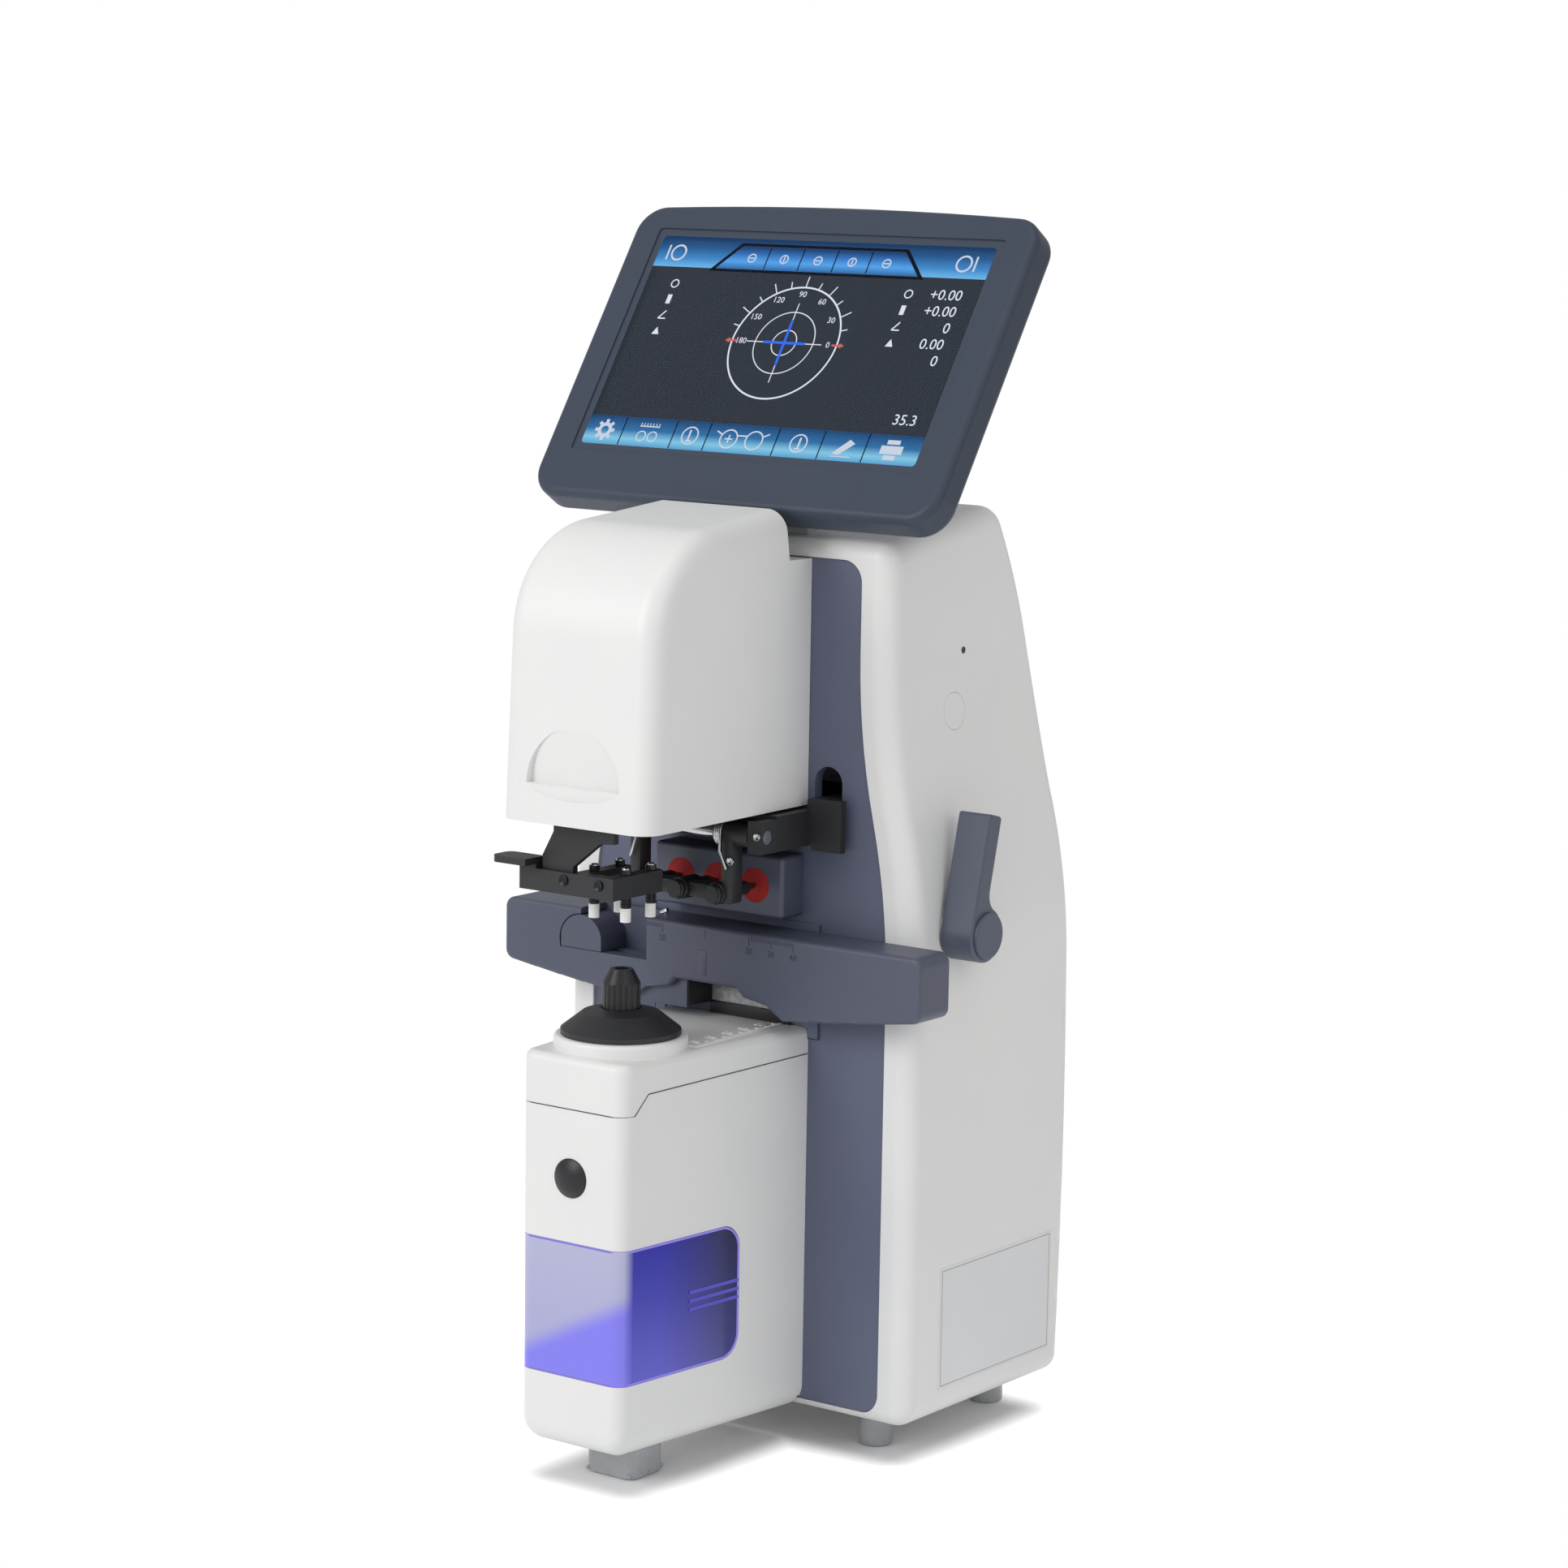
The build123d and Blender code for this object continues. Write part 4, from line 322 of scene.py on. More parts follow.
def pin_material():
    """White nylon tip below, black sleeve above, split by height on the pin."""
    material, tree, shader, place = start_material("nylon_tip_in_black_sleeve", "F0F0EE", 0.36, IOR=1.53)
    split = add_node(tree, "ShaderNodeSeparateXYZ", Vector=place)
    upper = add_node(tree, "ShaderNodeMath", {"operation": "GREATER_THAN"}, split.outputs["Z"],
                     SLEEVE_FOOT * MM)
    grain = add_node(tree, "ShaderNodeTexNoise", Vector=place, Scale=1 / (0.8 * MM))
    tip = add_node(tree, "ShaderNodeMix", {"data_type": "RGBA"}, Factor=grain.outputs["Fac"],
                   A=linear("F2F2F0"), B=linear("E4E4E2"))
    blend = add_node(tree, "ShaderNodeMix", {"data_type": "RGBA"}, Factor=upper.outputs[0],
                     A=tip.outputs[2], B=linear("17181A"))
    tree.links.new(blend.outputs[2], shader.inputs["Base Color"])
    return material


pin_finish = pin_material()
pins = [node for name, node in nodes.items() if name.startswith("presser_pin_")]
for pin in pins:
    pin.data.materials[0] = pin_finish
print("Two-colour pins:", len(pins))

# %% [markdown]
# New pieces start as a bmesh, Blender's editable mesh. These helpers add a simple form to one, a softened
# block or a round bar. The operator makes the vertices; a matrix puts them in place.

# %% Blocks and bars
def soften(bm, edges, width):
    """Round some edges over by a width in millimetres."""
    bmesh.ops.bevel(bm, geom=list(edges), offset=width * MM, segments=2, profile=0.5, affect="EDGES",
                    material=-1, clamp_overlap=True)


def add_block(bm, low, high, edge):
    """Block between two corners in metres, with edges rounded by a width in millimetres."""
    matrix = Matrix.Translation((low + high) / 2) @ Matrix.Diagonal((*(high - low), 1.0))
    made = bmesh.ops.create_cube(bm, size=1.0, matrix=matrix)
    soften(bm, {e for v in made["verts"] for e in v.link_edges}, edge)


def add_bar(bm, start, end, radius, end_radius=None, sides=24, edge=0.0):
    """Round bar between two points in metres, with its radius in millimetres."""
    turn = (end - start).to_track_quat("Z", "Y").to_matrix().to_4x4()
    matrix = Matrix.Translation((start + end) / 2) @ turn
    made = bmesh.ops.create_cone(bm, cap_ends=True, segments=sides, radius1=radius * MM,
                                 radius2=(end_radius or radius) * MM, depth=(end - start).length,
                                 matrix=matrix)
    if edge:
        caps = [f for f in {f for v in made["verts"] for f in v.link_faces} if len(f.verts) > 4]
        soften(bm, {e for f in caps for e in f.edges}, edge)


# %% [markdown]
# A cap screw starts as a short bar. Its front face is inset, which leaves a smaller face inside a rim, and
# that one is pushed in to make the socket for a key.

# %% Cap screws
def add_screw(bm, place, radius, height):
    """Cap screw that faces front: a round head with a socket of half its width sunk into it."""
    front = Vector((0, -1, 0))
    crown = place + front * height * MM
    add_bar(bm, place - front * 0.2 * MM, crown, radius, edge=0.15)
    top = min((f for f in bm.faces if len(f.verts) > 12 and f.normal.dot(front) > 0.9),
              key=lambda f: (f.calc_center_median() - crown).length)
    bmesh.ops.inset_region(bm, faces=[top], thickness=radius * 0.5 * MM)
    bmesh.ops.translate(bm, verts=top.verts[:], vec=-front * height * 0.6 * MM)


# %% [markdown]
# A bmesh becomes an object once it is copied into a mesh. Every new piece is finished in the same way: its
# faces point outwards, gentle edges are shaded smooth and hard ones stay sharp, and it gets a material and
# the name of the body that it moves with.

# %% Finish for new pieces
def make_piece(name, bm, body, material, smooth_angle=35.0):
    """Turn a bmesh into a finished piece that rides on a body and has the given material."""
    bmesh.ops.recalc_face_normals(bm, faces=bm.faces)
    mesh = bpy.data.meshes.new(name)
    bm.to_mesh(mesh)
    bm.free()
    mesh.shade_smooth()
    mesh.set_sharp_from_angle(angle=math.radians(smooth_angle))
    mesh.materials.append(material)
    piece = bpy.data.objects.new(name, mesh)
    bpy.context.scene.collection.objects.link(piece)
    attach(piece, body)
    print("made", name, len(mesh.polygons), "faces")
    return piece


# %% [markdown]
# The touch screen's picture is made as thin sheets of light between the display panel and the cover glass.
# They are drawn flat, in millimetres from the foot of the display, and one matrix lays them on the
# tilted screen. The layout is a plain one: two blue bars of buttons, an angle dial and some figures.

# %% The screen's own plane
TILT = math.radians(33.2)
screen_up = Vector((0, math.sin(TILT), math.cos(TILT)))
screen_out = Vector((0, -math.cos(TILT), math.sin(TILT)))
display_foot = at(0, 95.9, 369.4)


def screen_matrix(depth):
    """Matrix from flat drawings in metres to the screen, sunk under the glass by a depth in millimetres.

    The drawings were read off the glass, so what lies deeper moves aside to be seen there."""
    turn = Matrix((Vector((1, 0, 0)), screen_up, screen_out)).transposed().to_4x4()
    aside = Vector((-0.66, 0, 0)) + screen_up * 0.36 - screen_out
    return Matrix.Translation(display_foot + aside * depth * MM) @ turn


print("Screen leans back by", round(math.degrees(TILT), 1), "degrees")

# %% [markdown]
# A display makes its own light, so its colours are emissions over a nearly black shader that takes no
# highlight. White figures and thin lines have one even colour. The bars get a colour ramp along the
# direction that points up the screen, because glossy buttons are drawn with a bright band in them.

# %% Lights of the display
def glow(name, colour, strength=1.0):
    """Light of one colour that varies by a few percent, as a lit panel does."""
    material, tree, shader, place = start_material(name, "08090C", 0.5, Emission_Strength=strength,
                                                   Specular_IOR_Level=0.0)
    spots = add_node(tree, "ShaderNodeTexNoise", Vector=place, Scale=1 / (1.5 * MM))
    bright = linear(colour)
    blend = add_node(tree, "ShaderNodeMix", {"data_type": "RGBA"}, Factor=spots.outputs["Fac"], A=bright,
                     B=(*(part * 0.92 for part in bright[:3]), 1.0))
    tree.links.new(blend.outputs[2], shader.inputs["Emission Color"])
    return material


def bar_glow(name, low, high, stops):
    """Blue bar of buttons: a colour ramp that runs up the screen between two heights in millimetres."""
    material, tree, shader, place = start_material(name, "08090C", 0.5, Emission_Strength=1.25,
                                                   Specular_IOR_Level=0.0)
    rise = add_node(tree, "ShaderNodeVectorMath", {"operation": "DOT_PRODUCT"}, place, screen_up)
    foot = display_foot.dot(screen_up)
    level = add_node(tree, "ShaderNodeMapRange", Value=rise.outputs["Value"], From_Min=foot + low * MM,
                     From_Max=foot + high * MM)
    ramp = add_node(tree, "ShaderNodeValToRGB", Fac=level.outputs["Result"])
    ramp.color_ramp.elements[0].color = linear(stops[0][1])
    ramp.color_ramp.elements[1].color = linear(stops[-1][1])
    for position, colour in stops[1:-1]:
        ramp.color_ramp.elements.new(position).color = linear(colour)
    tree.links.new(ramp.outputs["Color"], shader.inputs["Emission Color"])
    return material


ink_white = glow("screen_white", "E6EAF2")
ink_dark = glow("screen_dark_line", "0B0D14", 0.6)
icon_grey = glow("screen_icon_grey", "D2DAE6")
print("Materials with the display's inks:", len(bpy.data.materials))

# %% [markdown]
# Everything on the screen is built from a few flat shapes: rectangles, rings, lines, polygons and
# figures. Here are the first four, each one face or one ring of faces in the drawing's plane.

# %% Flat shapes
def add_rect(bm, left, right, low, high):
    """Flat rectangle in the drawing, in millimetres."""
    matrix = Matrix.Translation(Vector(((left + right) / 2, (low + high) / 2, 0)) * MM)
    size = Matrix.Diagonal(((right - left) * MM, (high - low) * MM, 1, 1))
    bmesh.ops.create_grid(bm, x_segments=1, y_segments=1, size=0.5, matrix=matrix @ size)


def add_ring(bm, x, y, radius, width, sides=72):
    """Flat ring in the drawing; a ring as wide as its radius is a disc."""
    matrix = Matrix.Translation(Vector((x, y, 0)) * MM)
    made = bmesh.ops.create_circle(bm, cap_ends=True, segments=sides, radius=radius * MM, matrix=matrix)
    if width < radius:
        face = made["verts"][0].link_faces[0]
        bmesh.ops.inset_region(bm, faces=[face], thickness=width * MM, use_boundary=True)
        bmesh.ops.delete(bm, geom=[face], context="FACES_ONLY")


def add_line(bm, x0, y0, x1, y1, width):
    """Flat line of a given width between two points of the drawing."""
    run = Vector((x1 - x0, y1 - y0, 0))
    matrix = Matrix.Translation(Vector(((x0 + x1) / 2, (y0 + y1) / 2, 0)) * MM)
    matrix = matrix @ Matrix.Rotation(math.atan2(run.y, run.x), 4, "Z")
    matrix = matrix @ Matrix.Diagonal((run.length * MM, width * MM, 1, 1))
    bmesh.ops.create_grid(bm, x_segments=1, y_segments=1, size=0.5, matrix=matrix)


def add_polygon(bm, corners):
    """Flat shape with the given corners."""
    bm.faces.new([bm.verts.new(Vector((x, y, 0)) * MM) for x, y in corners])


# %% [markdown]
# Figures come from the font that is built into Blender. The text is turned into a mesh at once, its faces
# are copied into the drawing, and the text itself is deleted again.

# %% Figures
def add_figures(bm, text, x, y, height, align="CENTER"):
    """Figures from Blender's own font, as flat faces."""
    curve = bpy.data.curves.new("figures", "FONT")
    curve.body = text
    curve.size = height * MM * 1.4
    curve.align_x = align
    curve.align_y = "CENTER"
    curve.resolution_u = 3
    holder = bpy.data.objects.new("figures", curve)
    mesh = bpy.data.meshes.new_from_object(holder)
    mesh.transform(Matrix.Translation(Vector((x, y, 0)) * MM))
    bm.from_mesh(mesh)
    bpy.data.objects.remove(holder)
    bpy.data.curves.remove(curve)
    bpy.data.meshes.remove(mesh)


# %% [markdown]
# A finished drawing becomes a solid sheet. All its faces are extruded by a thickness, and a matrix lays the
# sheet on its surface. Sheets of the display are very thin, because several lie under one glass.

# %% Sheets
SHEET = 0.03


def sheet_piece(name, bm, matrix, thickness, body, material):
    """Give a flat drawing a thickness in millimetres, lay it in place and finish it."""
    bmesh.ops.remove_doubles(bm, verts=bm.verts, dist=0.002 * MM)
    bmesh.ops.recalc_face_normals(bm, faces=bm.faces)
    for face in [f for f in bm.faces if f.normal.z < 0]:
        face.normal_flip()
    raised = bmesh.ops.extrude_face_region(bm, geom=list(bm.faces))
    tops = [v for v in raised["geom"] if isinstance(v, bmesh.types.BMVert)]
    bmesh.ops.translate(bm, verts=tops, vec=(0, 0, thickness * MM))
    bmesh.ops.transform(bm, matrix=matrix, verts=bm.verts)
    return make_piece(name, bm, body, material, smooth_angle=20.0)


def on_screen(name, bm, depth, material):
    """Finish a drawing as a sheet of the display, at a depth in millimetres under the glass."""
    sheet_piece(name, bm, screen_matrix(depth), SHEET, "screen", material)


# %% [markdown]
# A touch screen's glass is printed with a border from behind, and the picture ends under it. Here a thin
# ring in the bezel's own colour lies on the glass, from the bezel to the edge of the lit field.

# %% Border of the lit field
HALF, LIT = 76.2, 91.4


def rounded(left, right, low, high, radius):
    """Corners of a rounded rectangle, from the top right corner round by the left to the bottom right."""
    corners = []
    for x, y, start in ((right - radius, high - radius, 0), (left + radius, high - radius, 90),
                        (left + radius, low + radius, 180), (right - radius, low + radius, 270)):
        for step in range(7):
            turn = math.radians(start + 15 * step)
            corners.append((x + radius * math.cos(turn), y + radius * math.sin(turn)))
    return corners


bm = bmesh.new()
outer = [bm.verts.new(Vector((x, y, 0)) * MM) for x, y in rounded(-79.3, 79.3, -3.1, 94.5, 1.4)]
inner = [bm.verts.new(Vector((x, y, 0)) * MM) for x, y in rounded(-HALF, HALF, 0.0, LIT, 1.6)]
for k in range(len(outer)):
    j = (k + 1) % len(outer)
    bm.faces.new((outer[k], outer[j], inner[j], inner[k]))
on_screen("display_mask", bm, -0.01, bezel_abs)

# %% [markdown]
# The two bars are bright low down and dark at the top, as glossy buttons are drawn. They reach a little way
# under the border, so that no dark gap shows when the screen is seen at a slant.

# %% Blue bars
LOW_BAR, TOP_BAR, PAST = 12.4, 78.2, 1.2
top_blue = bar_glow("screen_blue_top_bar", TOP_BAR, LIT,
                    ((0, "68AEDA"), (0.35, "387CB6"), (0.7, "205082"), (1, "18385C")))
low_blue = bar_glow("screen_blue_low_bar", 0.0, LOW_BAR,
                    ((0, "3F88B8"), (0.3, "78B6D0"), (0.6, "2A6698"), (1, "1B426C")))
edge = rounded(-HALF - PAST, HALF + PAST, -1.4, LIT + PAST, 1.0)
bm = bmesh.new()
add_polygon(bm, [c for c in edge if c[1] > LIT / 2] + [(-HALF - PAST, TOP_BAR), (HALF + PAST, TOP_BAR)])
on_screen("display_top_bar", bm, 1.83, top_blue)
bm = bmesh.new()
add_polygon(bm, [c for c in edge if c[1] < LIT / 2] + [(HALF + PAST, LOW_BAR), (-HALF - PAST, LOW_BAR)])
on_screen("display_low_bar", bm, 1.83, low_blue)

# %% [markdown]
# In the top bar, a deeper blue tab with sloping ends and a dark rim holds the five middle buttons. Narrow
# dark lines part the buttons. Each sheet lies a little nearer to the glass than the one that it covers.

# %% Tab and partings
LOW_PARTINGS = (-59.0, -35.0, -19.3, 12.3, 32.7, 52.4)
TAB_PARTINGS = (-24.0, -8.4, 7.2, 22.8)
tab_blue = bar_glow("screen_blue_tab", TOP_BAR, 88.2,
                    ((0, "1C4A80"), (0.4, "4C96D6"), (0.75, "2A62A4"), (1, "163A66")))
bm = bmesh.new()
add_polygon(bm, ((-49.4, 77.0), (49.4, 77.0), (38.2, 89.6), (-38.2, 89.6)))
on_screen("display_tab_edge", bm, 1.79, ink_dark)
bm = bmesh.new()
add_polygon(bm, ((-46.4, TOP_BAR), (46.4, TOP_BAR), (37.2, 88.4), (-37.2, 88.4)))
on_screen("display_tab", bm, 1.75, tab_blue)
bm = bmesh.new()
for x in LOW_PARTINGS:
    add_rect(bm, x - 0.25, x + 0.25, 0.3, 12.1)
for x in TAB_PARTINGS:
    add_rect(bm, x - 0.25, x + 0.25, 78.6, 88.0)
on_screen("display_partings", bm, 1.71, ink_dark)

# %% [markdown]
# The dial is a ring marked in degrees, with two inner rings and a cross at its centre. Its ticks are
# placed by angle with a loop, long ones every thirty degrees. Plain numbers stand inside the ring.

# %% Angle dial
DIAL_X, DIAL_Y, DIAL_R = -1.4, 47.6, 24.3
bm = bmesh.new()
add_ring(bm, DIAL_X, DIAL_Y, DIAL_R, 0.7)
add_ring(bm, DIAL_X, DIAL_Y, 13.4, 0.42)
add_ring(bm, DIAL_X, DIAL_Y, 5.6, 0.42, sides=48)
for start, end in ((-17.0, -9.6), (9.6, 17.0)):
    add_rect(bm, DIAL_X + start, DIAL_X + end, DIAL_Y - 0.2, DIAL_Y + 0.2)
for start, end in ((9.8, 17.0), (-17.0, -9.8)):
    add_rect(bm, DIAL_X - 0.2, DIAL_X + 0.2, DIAL_Y + start, DIAL_Y + end)
for degrees in range(15, 180, 15):
    turn = math.radians(degrees)
    reach = 4.4 if degrees % 30 == 0 else 2.6
    across, rise = math.cos(turn), math.sin(turn)
    add_line(bm, DIAL_X + DIAL_R * across, DIAL_Y + DIAL_R * rise, DIAL_X + (DIAL_R + reach) * across,
             DIAL_Y + (DIAL_R + reach) * rise, 0.45)
on_screen("display_dial", bm, 1.80, ink_white)
bm = bmesh.new()
for degrees in range(0, 181, 30):
    turn = math.radians(degrees)
    add_figures(bm, str(degrees), DIAL_X + (DIAL_R - 4.4) * math.cos(turn),
                DIAL_Y + (DIAL_R - 3.4) * math.sin(turn), 2.5)
on_screen("display_dial_numbers", bm, 1.80, ink_white)
bm = bmesh.new()
add_rect(bm, DIAL_X - 9.4, DIAL_X + 9.4, DIAL_Y - 0.55, DIAL_Y + 0.55)
add_rect(bm, DIAL_X - 0.55, DIAL_X + 0.55, DIAL_Y - 9.6, DIAL_Y + 9.6)
on_screen("display_cross", bm, 1.76, glow("screen_blue_cross", "2F66E0", 1.2))
bm = bmesh.new()
for side in (-1, 1):
    x = DIAL_X + side * DIAL_R
    add_rect(bm, x - 2.6, x + 2.6, DIAL_Y - 0.4, DIAL_Y + 0.4)
    wide = x + side * 1.6
    add_polygon(bm, ((x - side * 0.6, DIAL_Y), (wide, DIAL_Y + 1.1), (wide, DIAL_Y - 1.1)))
on_screen("display_dial_ends", bm, 1.76, glow("screen_red", "D86A5C"))

# %% [markdown]
# The readings are only figures, because figures are the same on any such device. Small plain shapes head
# the rows: a ring, a bar, an angle and a triangle for the lens's sphere, cylinder, axis and prism.

# %% Readings and marks
bm = bmesh.new()
for row, text in enumerate(("+0.00", "+0.00", "0", "0.00", "0")):
    add_figures(bm, text, 69.0, 70.8 - row * 6.9, 4.4, align="RIGHT")
add_figures(bm, "35.3", 70.0, 18.4, 4.4, align="RIGHT")
on_screen("display_readings", bm, 1.80, ink_white)
bm = bmesh.new()
for x in (-62.4, 45.4):
    add_ring(bm, x, 70.8, 1.9, 0.5, sides=24)
    add_rect(bm, x - 1.0, x + 1.0, 61.9, 65.9)
    add_line(bm, x - 1.6, 55.4, x + 1.8, 55.4, 0.55)
    add_line(bm, x - 1.6, 55.4, x + 1.1, 58.8, 0.55)
    add_polygon(bm, ((x - 1.7, 48.4), (x + 1.7, 48.4), (x, 51.6)))
on_screen("display_marks", bm, 1.80, ink_white)

# %% [markdown]
# The buttons' icons are simple drawings too: a cog, a pair of lenses under a ruler, left and right lens,
# a spectacle frame, an eraser and a printer. Each is a handful of flat shapes, in a pale metal grey.

# %% Icons of the low bar
bm = bmesh.new()
cog_x, icon_y = -67.5, 6.2
add_ring(bm, cog_x, icon_y, 3.2, 1.5, sides=32)
for tooth in range(8):
    turn = math.radians(45 * tooth)
    add_line(bm, cog_x + 3.0 * math.cos(turn), icon_y + 3.0 * math.sin(turn), cog_x + 4.5 * math.cos(turn),
             icon_y + 4.5 * math.sin(turn), 1.4)
for x in (-49.6, -44.4):
    add_ring(bm, x, 4.6, 2.3, 0.5, sides=28)
add_line(bm, -51.6, 8.8, -42.4, 8.8, 0.5)
for step in range(7):
    add_line(bm, -51.2 + step * 1.4, 8.8, -51.2 + step * 1.4, 10.2, 0.35)
for middle, side in ((-27.2, -1), (22.6, 1)):
    add_ring(bm, middle, icon_y, 3.9, 0.6, sides=32)
    add_rect(bm, middle + side * 0.3 - 0.4, middle + side * 0.3 + 0.4, icon_y - 2.4, icon_y + 2.4)
    add_rect(bm, middle - 1.2, middle + 1.2, icon_y - 2.6, icon_y - 1.9)
for middle in (-9.2, 2.4):
    add_ring(bm, middle, icon_y - 0.2, 4.1, 0.6, sides=32)
add_line(bm, -5.4, icon_y + 1.4, -1.4, icon_y + 1.4, 0.6)
add_line(bm, -15.4, icon_y + 2.8, -12.9, icon_y + 1.6, 0.6)
add_line(bm, 8.6, icon_y + 2.8, 6.1, icon_y + 1.6, 0.6)
add_rect(bm, -10.9, -7.5, icon_y - 0.5, icon_y + 0.1)
add_rect(bm, -9.5, -8.9, icon_y - 1.9, icon_y + 1.5)
add_polygon(bm, ((38.6, 3.2), (41.4, 2.6), (47.4, 7.6), (44.8, 9.2)))
add_line(bm, 38.2, 2.0, 47.0, 2.0, 0.35)
add_rect(bm, 59.0, 68.6, 4.4, 7.8)
add_rect(bm, 61.0, 66.6, 8.4, 10.2)
add_rect(bm, 61.2, 66.4, 2.0, 3.9)
on_screen("display_low_icons", bm, 1.71, icon_grey)

# %% [markdown]
# The top bar has a ring with a stroke at each end, and five small rings on its tab. Every second one has an
# upright stroke in it, and the others a level one.

# %% Icons of the top bar
bm = bmesh.new()
for middle, side in ((-66.5, -1), (64.5, 1)):
    add_ring(bm, middle, 84.4, 3.6, 0.8, sides=32)
    add_rect(bm, middle + side * 5.0 - 0.4, middle + side * 5.0 + 0.4, 81.2, 87.6)
for step, x in enumerate((-31.2, -16.2, -0.6, 15.0, 30.6)):
    add_ring(bm, x, 83.2, 2.0, 0.5, sides=24)
    if step % 2:
        add_rect(bm, x - 0.25, x + 0.25, 81.9, 84.5)
    else:
        add_rect(bm, x - 1.3, x + 1.3, 82.95, 83.45)
on_screen("display_top_icons", bm, 1.71, icon_grey)

# %% [markdown]
# The rest of the lesson adds what CAD left out. First the steel: cap screws on the presser and the linkage,
# a turned head on each pin, and the springs. Their glints make the dark mechanism readable.

# %% Screws and pin heads
PINS = {("front", "left"): (-7.2, 20.8), ("rear", "left"): (-7.2, 35.2), ("front", "right"): (7.2, 20.8),
        ("rear", "right"): (7.2, 35.2)}
bm = bmesh.new()
for x, z in ((-12.4, 221.2), (3.6, 221.0)):
    add_screw(bm, at(x, 10.0, z), 1.9, 0.7)
make_piece("presser_bar_screws", bm, "presser", dark_steel)
bm = bmesh.new()
add_screw(bm, at(23.7, 60.9, 225.7), 1.5, 0.8)
make_piece("pen_holder_screw", bm, "pens", bright_steel)
bm = bmesh.new()
for x in (34.6, -34.6):
    add_screw(bm, at(x, 62.0, 235.6), 1.4, 0.8)
make_piece("yoke_screws", bm, "yoke", bright_steel)
for (row, side), (x, y) in PINS.items():
    bm = bmesh.new()
    add_bar(bm, at(x, y, 225.85), at(x, y, 226.7), 1.5, end_radius=1.1, edge=0.2)
    make_piece(f"pin_head_{row}_{side}", bm, f"pin_{row}_{side}", bright_steel)

# %% [markdown]
# The marker's three pens sit in round barrels. A short tube is made from a path that goes out along the
# outside and back along the bore, spun once round the pen's axis. A slimmer cross bar and two arms stand in
# for the plain CAD holder.

# %% Pen barrels
BARREL = ((2.7, 0.0), (3.3, 0.0), (3.7, 0.4), (3.7, 1.4), (3.4, 1.6), (3.4, 2.0), (4.1, 2.3), (4.1, 12.2),
          (2.7, 12.2))


def add_lathe(bm, profile, origin, axis):
    """Spin a closed outline of radius and distance along the axis, in millimetres, once round an axis."""
    axis = Vector(axis)
    out = axis.orthogonal().normalized()
    points = [bm.verts.new(origin + (out * radius + axis * along) * MM) for radius, along in profile]
    edges = [bm.edges.new((points[k], points[(k + 1) % len(points)])) for k in range(len(points))]
    bmesh.ops.spin(bm, geom=points + edges, cent=origin, axis=axis, angle=math.tau, steps=40,
                   use_merge=True)


bm = bmesh.new()
for x in (-17.0, 0.0, 17.0):
    add_lathe(bm, BARREL, at(x, 58.5, 213.0), (0, 1, 0))
make_piece("pen_barrels", bm, "pens", black_gloss, smooth_angle=40.0)
bm = bmesh.new()
add_block(bm, at(-21.5, 62.4, 210.2), at(21.5, 68.6, 215.8), 1.0)
for side in (-1, 1):
    inner, outer = sorted((side * 18.4, side * 23.6))
    add_block(bm, at(inner, 61.4, 209.4), at(outer, 68.8, 237.0), 1.4)
    add_bar(bm, at(side * 14.2, 66.0, 235.0), at(side * 29.8, 66.0, 235.0), 4.4, edge=0.5)
holder = make_piece("pen_holder_shaped", bm, "pens", black_abs)
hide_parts("pen_holder")

# %% [markdown]
# A coil spring is a tube swept along a helix. The sweep is written out here: rings of points, each turned
# to face along the path, are joined by quads. The same function makes any bent wire.

# %% Springs
def add_wire(bm, path, radius, sides=10):
    """Tube of a radius in millimetres along a list of points in metres, closed at both ends."""
    rings = []
    side = None
    for index, point in enumerate(path):
        ahead = (path[min(index + 1, len(path) - 1)] - path[max(index - 1, 0)]).normalized()
        if side is None:
            side = ahead.orthogonal().normalized()
        side = (side - ahead * side.dot(ahead)).normalized()
        other = ahead.cross(side)
        rings.append([bm.verts.new(point + (side * math.cos(a) + other * math.sin(a)) * radius * MM)
                      for a in (2 * math.pi * k / sides for k in range(sides))])
    for first, second in zip(rings, rings[1:]):
        for k in range(sides):
            bm.faces.new((first[k], first[(k + 1) % sides], second[(k + 1) % sides], second[k]))
    bm.faces.new(rings[0])
    bm.faces.new(list(reversed(rings[-1])))


def helix(back, up, radius, start, end, turns):
    """Points of a coil round an axis along X, from one place across to another."""
    steps = int(turns * 20)
    points = []
    for k in range(steps + 1):
        turn = 2 * math.pi * turns * k / steps
        points.append(at(start + (end - start) * k / steps, back + radius * math.cos(turn),
                         up + radius * math.sin(turn)))
    return points


bm = bmesh.new()
for side in (-1, 1):
    coil = helix(66.0, 235.0, 5.0, side * 15.4, side * 18.4, 3.5)
    add_wire(bm, coil + [at(side * 19.4, 59.6, 229.0), at(side * 22.0, 60.2, 222.6)], 0.45)
make_piece("pen_return_springs", bm, "pens", bright_steel, smooth_angle=60.0)
for (row, side), (x, y) in PINS.items():
    bm = bmesh.new()
    add_wire(bm, [at(x + 1.95 * math.cos(0.5 * k), y + 1.95 * math.sin(0.5 * k), 212.2 + 3.4 * k / 60)
                  for k in range(61)], 0.16, sides=6)
    spring = make_piece(f"pin_spring_{row}_{side}", bm, "presser", dark_steel, smooth_angle=60.0)
    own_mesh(spring)

# %% [markdown]
# Flat marks are drawn in millimetres and then laid on a face. The matrix needs only two directions of the
# face, one along and one up it, and their cross product gives the way out.

# %% Scale on the lens table
ACROSS, BACK, UP = Vector((1, 0, 0)), Vector((0, 1, 0)), Vector((0, 0, 1))


